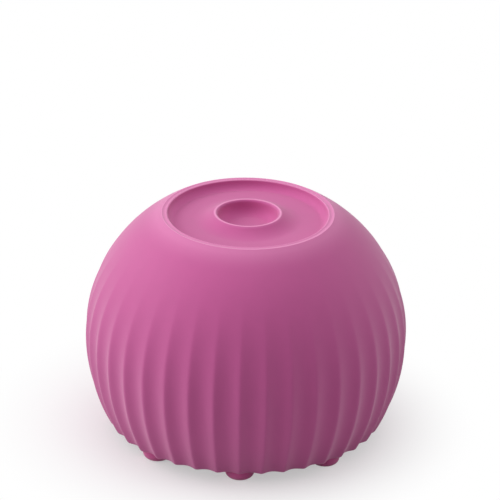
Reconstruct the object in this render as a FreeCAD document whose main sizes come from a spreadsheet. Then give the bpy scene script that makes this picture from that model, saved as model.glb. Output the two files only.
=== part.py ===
"""Nail polish shaker: a silicone covered ball whose cup orbits while a bottle is pressed on it.

Millimetres, +Z up, the origin on the table under the middle of the ball, the front at -Y.
The cup runs on a bearing on an eccentric pin. The motor that turns the pin hangs in a
carriage on three springs, and pressing the cup 1.5 mm down closes a switch and starts it.
"""

import FreeCAD
import Part
import Sketcher
import math
import os
import re

doc = FreeCAD.newDocument("shaker")

# Driving dimensions
DIMENSIONS = {
    # the ball
    "body_radius": "55",
    "equator_height": "34.9",
    "hem_inset": "8.19",
    "rim_height": "79.4",
    "underside_height": "3.7",
    "sleeve_wall": "3.4",
    "sleeve_fit": "0.1",
    "shell_wall": "2.2",
    "lap_depth": "2",
    "lap_clearance": "0.05",
    # the flutes of the sleeve
    "flute_count": "39",
    "flute_depth": "1.3",
    "flute_top_drop": "9.4",
    "flute_full_height": "24",
    "flute_turn": "0.7",
    # the rim and the lip that wipes the cup pad
    "crest_radius": "29",
    "crest_slope_width": "0.6",
    "crest_slope_drop": "0.104",
    "crest_width": "1.7",
    "lip_radius": "24.7",
    "lip_thickness": "0.3",
    "lip_clearance": "0.15",
    "recess_depth": "3.1",
    # the cup pad
    "eccentric_throw": "1.2",
    "pad_overlap": "1.4",
    "pocket_clearance": "1.2",
    "pad_thickness": "2.6",
    "ring_height": "2.7",
    "ring_radius": "11.3",
    "ring_round": "1",
    "ring_foot_radius": "15",
    "dimple_depth": "5",
    "dimple_round": "3.5",
    "dimple_wall": "2",
    # the underside
    "cover_thickness": "2.4",
    "cover_inset": "2.61",
    "cover_lip": "1.4",
    "spigot_wall": "6.3",
    "edge_gap": "0.2",
    "flange_thickness": "1.6",
    "floor_thickness": "2.4",
    "foot_count": "8",
    "foot_inset": "3.9",
    "foot_turn": "-1.7",
    "foot_radius": "5",
    "foot_round": "2.4",
    "foot_stem_radius": "2",
    "foot_stem_fit": "0.05",
    # the cup carrier and its bearing
    "carrier_thickness": "2.2",
    "carrier_inset": "1",
    "carrier_seat_gap": "0.1",
    "carrier_web": "1.3",
    "carrier_boss_radius": "13.5",
    "clip_room": "1.6",
    "clip_room_radius": "6.8",
    "bearing_bore": "2.5",
    "bearing_radius": "8",
    "bearing_width": "5",
    "bearing_seat_fit": "0.02",
    "inner_race_radius": "4.1",
    "outer_race_bore": "6.4",
    "ball_circle_radius": "5.25",
    "ball_radius": "1.3",
    "ball_clearance": "0.08",
    "ball_count": "8",
    "cage_inner_radius": "4.5",
    "cage_outer_radius": "6",
    "cage_depth": "1.2",
    "cage_crown": "2",
    "retainer_thickness": "1.5",
    "retainer_bore": "6.9",
    "retainer_screw_circle": "10.7",
    # the orbit guides
    "guide_count": "3",
    "guide_turn": "90",
    "guide_circle_radius": "19",
    "guide_pin_radius": "1.5",
    "guide_clearance": "0.06",
    "guide_socket_radius": "4.4",
    "guide_socket_length": "11.5",
    "guide_pin_depth": "1.8",
    "guide_end_gap": "1.5",
    # the eccentric hub and its counterweight
    "spacer_height": "3.1",
    "spacer_radius": "3.6",
    "hub_height": "5.4",
    "hub_radius": "5",
    "hub_flange_radius": "9",
    "hub_flange_thickness": "1.5",
    "hub_clearance": "2",
    "shaft_radius": "1",
    "shaft_fit": "0.01",
    "shaft_end_gap": "0.9",
    "pin_fit": "0.01",
    "clip_thickness": "0.5",
    "clip_radius": "4",
    "clip_groove_radius": "2",
    "weight_radius": "16.3",
    "weight_thickness": "2.6",
    "weight_span": "160",
    "weight_screw_circle": "7.2",
    "weight_screw_turn": "35",
    # the motor
    "motor_radius": "12.2",
    "motor_length": "30.8",
    "motor_wall": "0.9",
    "motor_boss_radius": "3",
    "motor_boss_height": "1.4",
    "motor_cap_height": "2",
    "motor_screw_circle": "8",
    "motor_plate_radius": "17.2",
    "motor_plate_thickness": "1.5",
    "magnet_thickness": "1.5",
    "rotor_radius": "9.2",
    # the sprung carriage
    "press_travel": "1.5",
    "stop_clearance": "0.05",
    "carriage_flange_radius": "25.4",
    "carriage_flange_thickness": "2.4",
    "carriage_wall": "1.9",
    "carriage_collar_radius": "16.9",
    "carriage_collar_height": "5.6",
    "carriage_floor": "2",
    "motor_fit": "0.1",
    "plate_screw_circle": "15.3",
    "post_circle_radius": "21",
    "post_radius": "3.2",
    "post_turn": "30",
    "spring_length": "7",
    "spring_radius": "2.6",
    "spring_wire_radius": "0.35",
    "spring_turns": "4",
    "shoulder_radius": "1.6",
    "shoulder_fit": "0.06",
    # the fasteners
    "long_screw_radius": "1.5",
    "long_screw_head": "2.7",
    "small_screw_radius": "0.8",
    "screw_hole_fit": "0.1",
    "column_count": "4",
    "column_radius": "3.6",
    "column_inset": "4.8",
    "shell_screw_turn": "22.5",
    "base_screw_turn": "67.5",
    # the switch under the carriage
    "switch_length": "12.8",
    "switch_width": "5.8",
    "switch_height": "6",
    "switch_offset": "6.5",
    "peg_length": "1.2",
    "peg_radius": "1.8",
    # the leads
    "lead_radius": "0.55",
    "lead_bend": "2",
    "lead_row": "8",
    "lead_lift": "1.4",
    # the battery
    "cell_radius": "7",
    "cell_length": "49",
    "cell_lift": "1",
    "holder_wall": "1.3",
    # the circuit board and what stands on it
    "board_inset": "12",
    "board_thickness": "1.6",
    "board_width": "28",
    "board_bottom": "18.5",
    "board_height": "27",
    "board_boss_depth": "3.6",
    "port_height": "24",
    "port_width": "8.94",
    "port_thickness": "3.26",
    "port_wall": "0.3",
    "port_inset": "2.6",
    "bezel_width": "16",
    "bezel_height": "9.4",
    "bezel_inset": "0.4",
    "bezel_opening_width": "12.6",
    "bezel_opening_height": "6.8",
    "light_height": "31.2",
    "light_radius": "1.1",
    "light_inset": "0.3",
    "button_height": "41",
    "button_radius": "4",
    "button_travel": "0.5",
    "button_proud": "0.3",
    "button_fit": "0.2",
    "button_flange_radius": "5.2",
    "button_flange_inset": "1.7",
    "button_flange_thickness": "0.9",
    "button_stem_radius": "2.2",
    "tact_size": "6",
    "tact_depth": "2.9",
    "tact_radius": "1.7",
    "trim_fit": "0.15",
}

# Levels and radii worked out from the driving dimensions
DERIVED = {
    # the crown's arc is upright at the equator and runs through the shoulder of the rim
    "crest_shoulder": "crest_radius + crest_slope_width",
    "shoulder_rise": "rim_height - crest_slope_drop - equator_height",
    "crown_arc_inset": "(body_radius^2 - crest_shoulder^2 - shoulder_rise^2)"
                       " / (2 * (body_radius - crest_shoulder))",
    "crown_arc_radius": "body_radius - crown_arc_inset",
    # the skirt's arc is upright at the equator too and runs through the hem
    "hem_radius": "body_radius - hem_inset",
    "hem_drop": "equator_height - underside_height",
    "skirt_arc_overrun": "(hem_radius^2 + hem_drop^2 - body_radius^2) / (2 * hem_inset)",
    "skirt_arc_radius": "body_radius + skirt_arc_overrun",
    "flute_top_height": "rim_height - flute_top_drop",
    "cover_radius": "hem_radius - cover_inset",
    "spigot_radius": "cover_radius - cover_lip",
    "foot_ring_radius": "cover_radius - foot_inset",
    "column_circle_radius": "spigot_radius - column_inset",
    "cover_top": "underside_height + cover_thickness",
    "floor_bottom": "cover_top + flange_thickness + sleeve_fit",
    "floor_top": "floor_bottom + floor_thickness",
    "sleeve_crown_radius": "crown_arc_radius - sleeve_wall",
    "sleeve_skirt_radius": "skirt_arc_radius - sleeve_wall",
    "shell_crown_radius": "sleeve_crown_radius - sleeve_fit",
    "shell_skirt_radius": "sleeve_skirt_radius - sleeve_fit",
    "shell_crown_inside": "shell_crown_radius - shell_wall",
    "shell_skirt_inside": "shell_skirt_radius - shell_wall",
    "shell_equator": "crown_arc_inset + shell_crown_radius",
    "shell_equator_inside": "shell_equator - shell_wall",
    "lap_radius": "shell_equator - shell_wall / 2",
    "pad_top": "rim_height - recess_depth",
    "pad_bottom": "pad_top - pad_thickness",
    "lip_underside": "pad_top + lip_clearance",
    "lip_top": "lip_underside + lip_thickness",
    "pad_radius": "lip_radius + eccentric_throw + pad_overlap",
    "pocket_radius": "pad_radius + eccentric_throw + pocket_clearance",
    "opening_radius": "pocket_radius + lip_thickness",
    "ring_top": "pad_top + ring_height",
    "dimple_bottom": "ring_top - dimple_depth",
    "dimple_radius": "ring_radius - ring_round",
    "bowl_bottom": "dimple_bottom - dimple_wall",
    "bowl_radius": "dimple_radius + dimple_wall",
    "carrier_bottom": "pad_bottom - carrier_thickness",
    "carrier_seat": "bowl_bottom - carrier_seat_gap",
    "clip_room_top": "carrier_seat - carrier_web",
    "bearing_top": "clip_room_top - clip_room",
    "bearing_bottom": "bearing_top - bearing_width",
    "bearing_middle": "bearing_top - bearing_width / 2",
    "groove_radius": "ball_radius + ball_clearance",
    "inner_groove": "sqrt(groove_radius^2 - (ball_circle_radius - inner_race_radius)^2)",
    "outer_groove": "sqrt(groove_radius^2 - (outer_race_bore - ball_circle_radius)^2)",
    "retainer_bottom": "bearing_bottom - retainer_thickness",
    "hub_top": "bearing_bottom - spacer_height",
    "hub_bottom": "hub_top - hub_height",
    "hub_flange_top": "hub_bottom + hub_flange_thickness",
    "shaft_top": "hub_top - shaft_end_gap",
    "plate_top": "hub_bottom - hub_clearance",
    "carriage_top": "plate_top - motor_plate_thickness",
    "carriage_flange_bottom": "carriage_top - carriage_flange_thickness",
    "motor_bottom": "carriage_top - motor_length",
    "carriage_floor_top": "motor_bottom - motor_fit",
    "carriage_bottom": "carriage_floor_top - carriage_floor",
    "carriage_bore": "motor_radius + motor_fit",
    "stop_top": "carriage_bottom - press_travel - stop_clearance",
    "switch_top": "floor_top + switch_height",
    "plunger_tip": "carriage_bottom - peg_length",
    "post_top": "carriage_flange_bottom - spring_length",
    "socket_bottom": "carrier_bottom - guide_socket_length",
    "socket_bore": "guide_pin_radius + eccentric_throw + guide_clearance",
    "socket_end": "carrier_bottom - carrier_inset",
    "guide_pin_top": "socket_end - guide_end_gap",
    "cell_height": "floor_top + cell_lift + cell_radius",
    "cell_row": "carriage_bore + carriage_wall + cell_radius + holder_wall",
    "board_face": "body_radius - board_inset",
    "port_reach": "body_radius - port_inset",
    "bezel_floor": "port_reach",
    "bezel_face": "body_radius - bezel_inset",
    "light_face": "body_radius - light_inset",
    "button_face": "body_radius + button_proud",
    "button_flange_face": "shell_equator_inside - button_flange_inset",
    "button_back": "board_face + tact_depth + button_travel",
}


def make_sheet(name, entries, write):
    """A sheet with one row for each named size."""
    sheet = doc.addObject("Spreadsheet::Sheet", name)
    for row, (alias, text) in enumerate(entries.items(), start=1):
        sheet.set(f"A{row}", alias)
        sheet.set(f"B{row}", write(text))
        sheet.setAlias(f"B{row}", alias)
    doc.recompute()
    return sheet


def formula(text):
    """The expression with each name written as a reference into its sheet."""
    def reference(word):
        name = word[0]
        if name in DIMENSIONS:
            return "Sizes." + name
        if name in DERIVED:
            return "Levels." + name
        return name
    return re.sub(r"[a-z][a-z_]*[a-z]", reference, text)


def derived_formula(text):
    """A formula for the second sheet, where its own names stand alone."""
    return "=" + formula(text).replace("Levels.", "")


sizes = make_sheet("Sizes", DIMENSIONS, str)
levels = make_sheet("Levels", DERIVED, derived_formula)


def number(text):
    """The value of an expression in millimetres or degrees."""
    value = sizes.evalExpression(formula(text))
    return float(getattr(value, "Value", value))


def whole(name):
    """The value of a count."""
    return int(round(number(name)))


def new_body(name):
    """An empty body whose label is the name of its sub-part."""
    body = doc.addObject("PartDesign::Body", name)
    body.Label = name
    body.AllowCompound = True
    return body


def origin_feature(body, role):
    """One of the body's own origin planes or axes."""
    return next(item for item in body.Origin.OriginFeatures if item.Role == role)


def new_sketch(body, role, level="0"):
    """A sketch on a plane of the body's origin, raised by level along its normal."""
    sketch = body.newObject("Sketcher::SketchObject", body.Name + "_sketch")
    sketch.AttachmentSupport = [(origin_feature(body, role), "")]
    sketch.MapMode = "FlatFace"
    if level != "0":
        sketch.setExpression("AttachmentOffset.Base.z", formula(level))
    return sketch


def hold(sketch, kind, shape, end, text):
    """Hold a point's distance from the sketch's origin along one direction."""
    if text == "0":
        axis = -2 if kind == "DistanceX" else -1
        sketch.addConstraint(Sketcher.Constraint("PointOnObject", shape, end, axis))
        return
    rule = Sketcher.Constraint(kind, -1, 1, shape, end, number(text))
    index = sketch.addConstraint(rule)
    sketch.setExpression(f"Constraints[{index}]", formula(text))


def outline(sketch, points, arcs=None):
    """A closed outline through points, pairs of expressions.

    A third item, x or y, names the only coordinate that is held, where an arc gives the
    other. arcs maps the point where an arc starts to its centre and whether it turns left.
    """
    arcs = arcs or {}
    spots = [FreeCAD.Vector(number(point[0]), number(point[1]), 0) for point in points]
    ends = []
    for index, start in enumerate(spots):
        finish = spots[(index + 1) % len(spots)]
        if index not in arcs:
            shape = sketch.addGeometry(Part.LineSegment(start, finish))
            ends.append((shape, 1, 2))
            continue
        across, up, left = arcs[index]
        middle = FreeCAD.Vector(number(across), number(up), 0)
        first, last = (start, finish) if left else (finish, start)
        angles = [math.atan2(p.y - middle.y, p.x - middle.x) for p in (first, last)]
        known = finish if len(points[index]) > 2 else start
        circle = Part.Circle(middle, FreeCAD.Vector(0, 0, 1), (known - middle).Length)
        shape = sketch.addGeometry(Part.ArcOfCircle(circle, *angles))
        ends.append((shape, 1, 2) if left else (shape, 2, 1))
        hold(sketch, "DistanceX", shape, 3, across)
        hold(sketch, "DistanceY", shape, 3, up)
    for index, point in enumerate(points):
        shape, begin, _ = ends[index]
        before, _, finish = ends[index - 1]
        sketch.addConstraint(Sketcher.Constraint("Coincident", before, finish, shape, begin))
        held = point[2] if len(point) > 2 else "xy"
        if "x" in held:
            hold(sketch, "DistanceX", shape, begin, point[0])
        if "y" in held:
            hold(sketch, "DistanceY", shape, begin, point[1])


def circle(sketch, across, up, radius):
    """A circle whose centre and radius are expressions."""
    middle = FreeCAD.Vector(number(across), number(up), 0)
    shape = sketch.addGeometry(Part.Circle(middle, FreeCAD.Vector(0, 0, 1), number(radius)))
    hold(sketch, "DistanceX", shape, 3, across)
    hold(sketch, "DistanceY", shape, 3, up)
    index = sketch.addConstraint(Sketcher.Constraint("Radius", shape, number(radius)))
    sketch.setExpression(f"Constraints[{index}]", formula(radius))


def rectangle(sketch, low, high):
    """A rectangle between two corners, pairs of expressions."""
    outline(sketch, [low, (high[0], low[1]), high, (low[0], high[1])])


def stadium(sketch, up, width, height):
    """A slot shape across the sketch's vertical axis, with round ends."""
    flat = f"({width}) / 2 - ({height}) / 2"
    low = f"{up} - ({height}) / 2"
    high = f"{up} + ({height}) / 2"
    left = f"-({flat})"
    corners = [(left, low, "x"), (flat, low), (flat, high, "x"), (left, high)]
    outline(sketch, corners, {1: (flat, up, True), 3: (left, up, True)})


def turned(body, points, arcs=None):
    """Add a solid turned about the body's Z axis from an outline of radius and height."""
    sketch = new_sketch(body, "XZ_Plane")
    outline(sketch, points, arcs)
    feature = body.newObject("PartDesign::Revolution", body.Name + "_turned")
    feature.Profile = sketch
    feature.ReferenceAxis = (sketch, ["V_Axis"])
    feature.Angle = 360
    body.Tip = feature
    return feature


def turned_aside(body, radius, points, arcs=None):
    """Add a solid turned about an upright axis that stands at radius on the X axis."""
    sketch = new_sketch(body, "XZ_Plane")
    start = FreeCAD.Vector(number(radius), 0, 0)
    finish = FreeCAD.Vector(number(radius), number(radius), 0)
    axis = sketch.addGeometry(Part.LineSegment(start, finish), True)
    hold(sketch, "DistanceX", axis, 1, radius)
    hold(sketch, "DistanceY", axis, 1, "0")
    sketch.addConstraint(Sketcher.Constraint("Vertical", axis))
    shifted = [(f"{radius} + {point[0]}", *point[1:]) for point in points]
    moved = {}
    for index, (across, up, left) in (arcs or {}).items():
        moved[index] = (f"{radius} + {across}", up, left)
    outline(sketch, shifted, moved)
    feature = body.newObject("PartDesign::Revolution", body.Name + "_turned")
    feature.Profile = sketch
    feature.ReferenceAxis = (sketch, ["Axis0"])
    feature.Angle = 360
    body.Tip = feature
    return feature


def pad(body, sketch, length, back=False):
    """Raise a sketch by length along its normal, or against it."""
    feature = body.newObject("PartDesign::Pad", body.Name + "_pad")
    feature.Profile = sketch
    feature.setExpression("Length", formula(length))
    feature.Reversed = back
    body.Tip = feature
    return feature


def pocket(body, sketch, length, back=False):
    """Cut a sketch into the body, against its normal, or along it."""
    feature = body.newObject("PartDesign::Pocket", body.Name + "_pocket")
    feature.Profile = sketch
    feature.setExpression("Length", formula(length))
    feature.Reversed = back
    body.Tip = feature
    return feature


def around(body, feature, count, turn="360"):
    """Repeat the last feature about the body's Z axis."""
    pattern = body.newObject("PartDesign::PolarPattern", body.Name + "_pattern")
    pattern.Originals = [feature]
    pattern.Axis = (origin_feature(body, "Z_Axis"), [""])
    pattern.setExpression("Angle", formula(turn))
    pattern.setExpression("Occurrences", formula(count))
    body.Tip = pattern
    return pattern


def posts(body, bottom, top, circle_radius, radius, count):
    """Raise round posts from bottom to top on a circle, the first of them on the X axis."""
    sketch = new_sketch(body, "XY_Plane", bottom)
    circle(sketch, circle_radius, "0", radius)
    return around(body, pad(body, sketch, f"{top} - ({bottom})"), count)


def bores(body, bottom, top, circle_radius, radius, count):
    """Cut round holes from bottom to top on a circle, the first of them on the X axis."""
    sketch = new_sketch(body, "XY_Plane", bottom)
    circle(sketch, circle_radius, "0", radius)
    return around(body, pocket(body, sketch, f"{top} - ({bottom})", back=True), count)


def bore(body, bottom, top, across, up, radius):
    """Cut one upright round hole from bottom to top."""
    sketch = new_sketch(body, "XY_Plane", bottom)
    circle(sketch, across, up, radius)
    return pocket(body, sketch, f"{top} - ({bottom})", back=True)


def spread(turn, count):
    """Expressions for the angles of count places around the Z axis, the first of them at turn."""
    return [f"{turn} + {place} * 360 / {count}" for place in range(whole(count))]


def on_circle(radius, angle):
    """Expressions for the place on a circle about the Z axis at an angle."""
    return f"({radius}) * cos({angle})", f"({radius}) * sin({angle})"


def turn_by(body, angle):
    """Turn the whole sub-part about the Z axis."""
    body.setExpression("Placement.Rotation.Angle", formula(angle))


def on_cup_axis(body):
    """Put a sub-part on the axis of the cup, which stands off the motor's by the throw."""
    body.setExpression("Placement.Base.y", formula("eccentric_throw"))


def screw(name, circle_radius, count, tip, seat, head_top, shank, head, turn="0"):
    """A ring of screws with a round head, point first from seat to tip."""
    body = new_body(name)
    points = [("0", tip), (shank, tip), (shank, seat), (head, seat), (head, head_top),
              ("0", head_top)]
    around(body, turned_aside(body, circle_radius, points), count)
    if turn != "0":
        turn_by(body, turn)
    return body


def skirt_radius(arc, height):
    """The radius of the ball below its equator, on the arc of that radius."""
    return f"sqrt({arc}^2 - (equator_height - ({height}))^2) - skirt_arc_overrun"


def crown_height(arc, radius):
    """The height of the ball above its equator, on the arc of that radius."""
    return f"equator_height + sqrt({arc}^2 - ({radius} - crown_arc_inset)^2)"


# The fluted silicone sleeve

def flute_section(height):
    """One closed wire of scallops at a height, between the cusps that lie on the ball."""
    equator = number("equator_height")
    if height > equator:
        inset = number("crown_arc_inset")
        cusp = inset + math.sqrt(number("crown_arc_radius") ** 2 - (height - equator) ** 2)
    else:
        overrun = number("skirt_arc_overrun")
        cusp = math.sqrt(number("skirt_arc_radius") ** 2 - (equator - height) ** 2) - overrun
    rise = number("flute_top_height") - height
    share = min(1.0, rise / number("flute_top_height - flute_full_height"))
    valley = cusp - number("flute_depth") * share * share * (3 - 2 * share)
    count = whole("flute_count")
    half = math.pi / count
    start = math.radians(number("flute_turn"))

    def at(radius, step):
        angle = start + step * half
        return FreeCAD.Vector(radius * math.cos(angle), radius * math.sin(angle), height)

    scallops = []
    for flute in range(count):
        step = 2 * flute
        arc = Part.Arc(at(cusp, step), at(valley, step + 1), at(cusp, step + 2))
        scallops.append(arc.toShape())
    return Part.Wire(scallops)


def fluted_skirt():
    """The outside of the sleeve up to where the flutes have faded out."""
    low = number("underside_height")
    high = number("flute_top_height")
    sections = 11
    step = (high - low) / (sections - 1)
    wires = [flute_section(low + step * index) for index in range(sections)]
    skirt = doc.addObject("Part::Feature", "sleeve_skirt")
    skirt.Shape = Part.makeLoft(wires, True, False)
    return skirt


def sleeve_crown():
    """The outside of the sleeve above its flutes, with the rim and the wiping lip."""
    body = new_body("sleeve_crown")
    flute_rise = "flute_top_height - equator_height"
    top_radius = f"crown_arc_inset + sqrt(crown_arc_radius^2 - ({flute_rise})^2)"
    crest_inside = "crest_radius - crest_width"
    wall_top = "rim_height - lip_thickness"
    points = [
        ("0", "flute_top_height"),
        (top_radius, "flute_top_height", "y"),
        ("crest_shoulder", "rim_height - crest_slope_drop"),
        ("crest_radius", "rim_height"),
        (crest_inside, "rim_height"),
        (f"lip_radius + {wall_top} - lip_top", wall_top),
        ("lip_radius", "lip_top", "x"),
        ("lip_radius", "lip_underside"),
        ("0", "lip_underside"),
    ]
    arcs = {1: ("crown_arc_inset", "equator_height", True),
            5: ("lip_radius", wall_top, False)}
    turned(body, points, arcs)
    return body


def sleeve_hollow():
    """The space inside the sleeve: the shells, the pocket of the cup pad and the cover."""
    body = new_body("sleeve_hollow")
    above_pocket = crown_height("sleeve_crown_radius", "pocket_radius")
    points = [
        ("0", "underside_height - 1"),
        ("cover_radius + edge_gap", "underside_height - 1"),
        ("cover_radius + edge_gap", "cover_top"),
        ("spigot_radius + edge_gap", "cover_top"),
        ("spigot_radius + edge_gap", "cover_top + flange_thickness"),
        (skirt_radius("sleeve_skirt_radius", "cover_top + flange_thickness"),
         "cover_top + flange_thickness", "y"),
        ("sleeve_crown_radius + crown_arc_inset", "equator_height"),
        ("pocket_radius", above_pocket, "x"),
        ("pocket_radius", "lip_underside"),
        ("0", "lip_underside"),
    ]
    arcs = {5: ("-skirt_arc_overrun", "equator_height", True),
            6: ("crown_arc_inset", "equator_height", True)}
    turned(body, points, arcs)
    return body


def rear_hole(name, start, reach, draw):
    """A tool that cuts the rear wall: a drawn shape raised backwards from start."""
    body = new_body(name)
    sketch = new_sketch(body, "XZ_Plane", f"-({start})")
    draw(sketch)
    pad(body, sketch, reach, back=True)
    return body


def rear_tools(prefix, start, reach, bezel_fit, button_fit):
    """Tools for the port, the light and the button through one wall."""
    def port(sketch):
        stadium(sketch, "port_height", f"bezel_width + {bezel_fit}", f"bezel_height + {bezel_fit}")

    def light(sketch):
        circle(sketch, "0", "light_height", "light_radius + lap_clearance")

    def button(sketch):
        circle(sketch, "0", "button_height", f"button_radius + {button_fit}")

    shapes = {"port": port, "light": light, "button": button}
    return {key: rear_hole(f"{prefix}_{key}_tool", start, reach, draw)
            for key, draw in shapes.items()}


def cut_from(name, base, tools):
    """The base without the tools, as the sub-part of that name."""
    result = doc.addObject("Part::Cut", name)
    result.Base = base
    result.Tool = tools[0]
    if len(tools) > 1:
        joined = doc.addObject("Part::MultiFuse", name + "_tools")
        joined.Shapes = tools
        result.Tool = joined
    result.Label = name
    return result


def silicone_sleeve():
    outside = doc.addObject("Part::Fuse", "sleeve_outside")
    outside.Base = fluted_skirt()
    outside.Tool = sleeve_crown()
    holes = rear_tools("sleeve", "shell_equator - shell_wall * 2", "body_radius",
                       "trim_fit", "button_fit")
    return cut_from("silicone_sleeve", outside, [sleeve_hollow(), *holes.values()])


# The cup pad and its carrier

def cup_pad():
    body = new_body("cup_pad")
    on_cup_axis(body)
    crest = "ring_top - ring_round"
    reach = "ring_foot_radius - ring_radius - ring_round"
    climb = "ring_height - ring_round"
    flank = f"(({reach})^2 + ({climb})^2) / (2 * ({climb}))"
    points = [
        ("0", "bowl_bottom"),
        ("bowl_radius", "bowl_bottom"),
        ("bowl_radius", "pad_bottom"),
        ("pad_radius", "pad_bottom"),
        ("pad_radius", "pad_top"),
        ("ring_foot_radius", "pad_top", "x"),
        ("ring_radius + ring_round", crest),
        ("dimple_radius", crest, "y"),
        ("dimple_radius", "dimple_bottom + dimple_round"),
        ("dimple_radius - dimple_round", "dimple_bottom", "x"),
        ("0", "dimple_bottom"),
    ]
    # the ring's flank is hollow, its crest is round and the foot of the dimple is hollow
    arcs = {5: ("ring_foot_radius", f"pad_top + {flank}", False),
            6: ("ring_radius", crest, True),
            8: ("dimple_radius - dimple_round", "dimple_bottom + dimple_round", False)}
    turned(body, points, arcs)
    return body


def cup_carrier():
    body = new_body("cup_carrier")
    on_cup_axis(body)
    seat = "bearing_radius + bearing_seat_fit"
    rim = "pad_radius - carrier_inset"
    pocket_wall = "bowl_radius + carrier_seat_gap"
    turned(body, [
        ("0", "clip_room_top"),
        ("clip_room_radius", "clip_room_top"),
        ("clip_room_radius", "bearing_top"),
        (seat, "bearing_top"),
        (seat, "bearing_bottom"),
        ("carrier_boss_radius", "bearing_bottom"),
        ("carrier_boss_radius", "carrier_bottom"),
        (rim, "carrier_bottom"),
        (rim, "pad_bottom"),
        (pocket_wall, "pad_bottom"),
        (pocket_wall, "carrier_seat"),
        ("0", "carrier_seat"),
    ])
    posts(body, "socket_bottom", "carrier_bottom", "guide_circle_radius",
          "guide_socket_radius", "guide_count")
    bores(body, "socket_bottom", "socket_end", "guide_circle_radius", "socket_bore",
          "guide_count")
    turn_by(body, "guide_turn")
    bores(body, "bearing_bottom", "bearing_bottom + 5", "retainer_screw_circle",
          "small_screw_radius + screw_hole_fit / 2", "guide_count")
    return body


def bearing_retainer():
    body = new_body("bearing_retainer")
    on_cup_axis(body)
    turned(body, [
        ("retainer_bore", "retainer_bottom"),
        ("carrier_boss_radius", "retainer_bottom"),
        ("carrier_boss_radius", "bearing_bottom"),
        ("retainer_bore", "bearing_bottom"),
    ])
    bores(body, "retainer_bottom", "bearing_bottom", "retainer_screw_circle",
          "small_screw_radius + screw_hole_fit", "guide_count")
    turn_by(body, "guide_turn")
    return body


def retainer_screws():
    body = screw("retainer_screws", "retainer_screw_circle", "guide_count",
                 "bearing_bottom + 4", "retainer_bottom", "retainer_bottom - 1.1",
                 "small_screw_radius", "1.9", turn="guide_turn")
    on_cup_axis(body)
    return body


# The bearing

def bearing_races():
    outer = new_body("bearing_outer_race")
    inner = new_body("bearing_inner_race")
    for race in (outer, inner):
        on_cup_axis(race)
    groove_arc = ("ball_circle_radius", "bearing_middle", False)
    turned(outer, [
        ("outer_race_bore", "bearing_bottom"),
        ("bearing_radius", "bearing_bottom"),
        ("bearing_radius", "bearing_top"),
        ("outer_race_bore", "bearing_top"),
        ("outer_race_bore", "bearing_middle + outer_groove"),
        ("outer_race_bore", "bearing_middle - outer_groove", "x"),
    ], {4: groove_arc})
    turned(inner, [
        ("bearing_bore", "bearing_bottom"),
        ("inner_race_radius", "bearing_bottom"),
        ("inner_race_radius", "bearing_middle - inner_groove"),
        ("inner_race_radius", "bearing_middle + inner_groove", "x"),
        ("inner_race_radius", "bearing_top"),
        ("bearing_bore", "bearing_top"),
    ], {2: groove_arc})
    return [outer, inner]


def bearing_balls():
    body = new_body("bearing_balls")
    on_cup_axis(body)
    ball = turned_aside(body, "ball_circle_radius", [
        ("0", "bearing_middle - ball_radius"),
        ("0", "bearing_middle + ball_radius", "x"),
    ], {0: ("0", "bearing_middle", True)})
    around(body, ball, "ball_count")
    return body


def ball_cage():
    body = new_body("ball_cage")
    on_cup_axis(body)
    turned(body, [
        ("cage_inner_radius", "bearing_middle - cage_depth"),
        ("cage_outer_radius", "bearing_middle - cage_depth"),
        ("cage_outer_radius", "bearing_middle + cage_crown"),
        ("cage_inner_radius", "bearing_middle + cage_crown"),
    ])
    bores(body, "bearing_middle - cage_depth", "bearing_middle + groove_radius",
          "ball_circle_radius", "groove_radius", "ball_count")
    return body


# The eccentric drive

def eccentric_hub():
    body = new_body("eccentric_hub")
    turned(body, [
        ("0", "hub_bottom"),
        ("hub_flange_radius", "hub_bottom"),
        ("hub_flange_radius", "hub_flange_top"),
        ("hub_radius", "hub_flange_top"),
        ("hub_radius", "hub_top"),
        ("0", "hub_top"),
    ])
    sketch = new_sketch(body, "XY_Plane", "hub_top")
    circle(sketch, "0", "eccentric_throw", "spacer_radius")
    pad(body, sketch, "spacer_height")
    sketch = new_sketch(body, "XY_Plane", "bearing_bottom")
    circle(sketch, "0", "eccentric_throw", "bearing_bore - pin_fit")
    pad(body, sketch, "bearing_width + clip_room * 0.7")
    sketch = new_sketch(body, "XY_Plane", "bearing_top")
    circle(sketch, "0", "eccentric_throw", "bearing_bore")
    circle(sketch, "0", "eccentric_throw", "clip_groove_radius")
    pocket(body, sketch, "clip_thickness + lap_clearance", back=True)
    bore(body, "hub_bottom", "shaft_top", "0", "0", "shaft_radius + shaft_fit")
    for sign in ("-", ""):
        bore(body, "hub_bottom", "hub_flange_top",
             f"{sign}weight_screw_circle * sin(weight_screw_turn)",
             "-weight_screw_circle * cos(weight_screw_turn)",
             "small_screw_radius + screw_hole_fit / 2")
    sketch = new_sketch(body, "XZ_Plane")
    circle(sketch, "0", "hub_top - 2.3", "small_screw_radius + screw_hole_fit * 2")
    pocket(body, sketch, "hub_radius")
    return body


def hub_set_screw():
    body = new_body("hub_set_screw")
    sketch = new_sketch(body, "XZ_Plane", "-(shaft_radius + shaft_fit)")
    circle(sketch, "0", "hub_top - 2.3", "small_screw_radius + screw_hole_fit")
    pad(body, sketch, "hub_radius - shaft_radius - screw_hole_fit", back=True)
    return body


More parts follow.
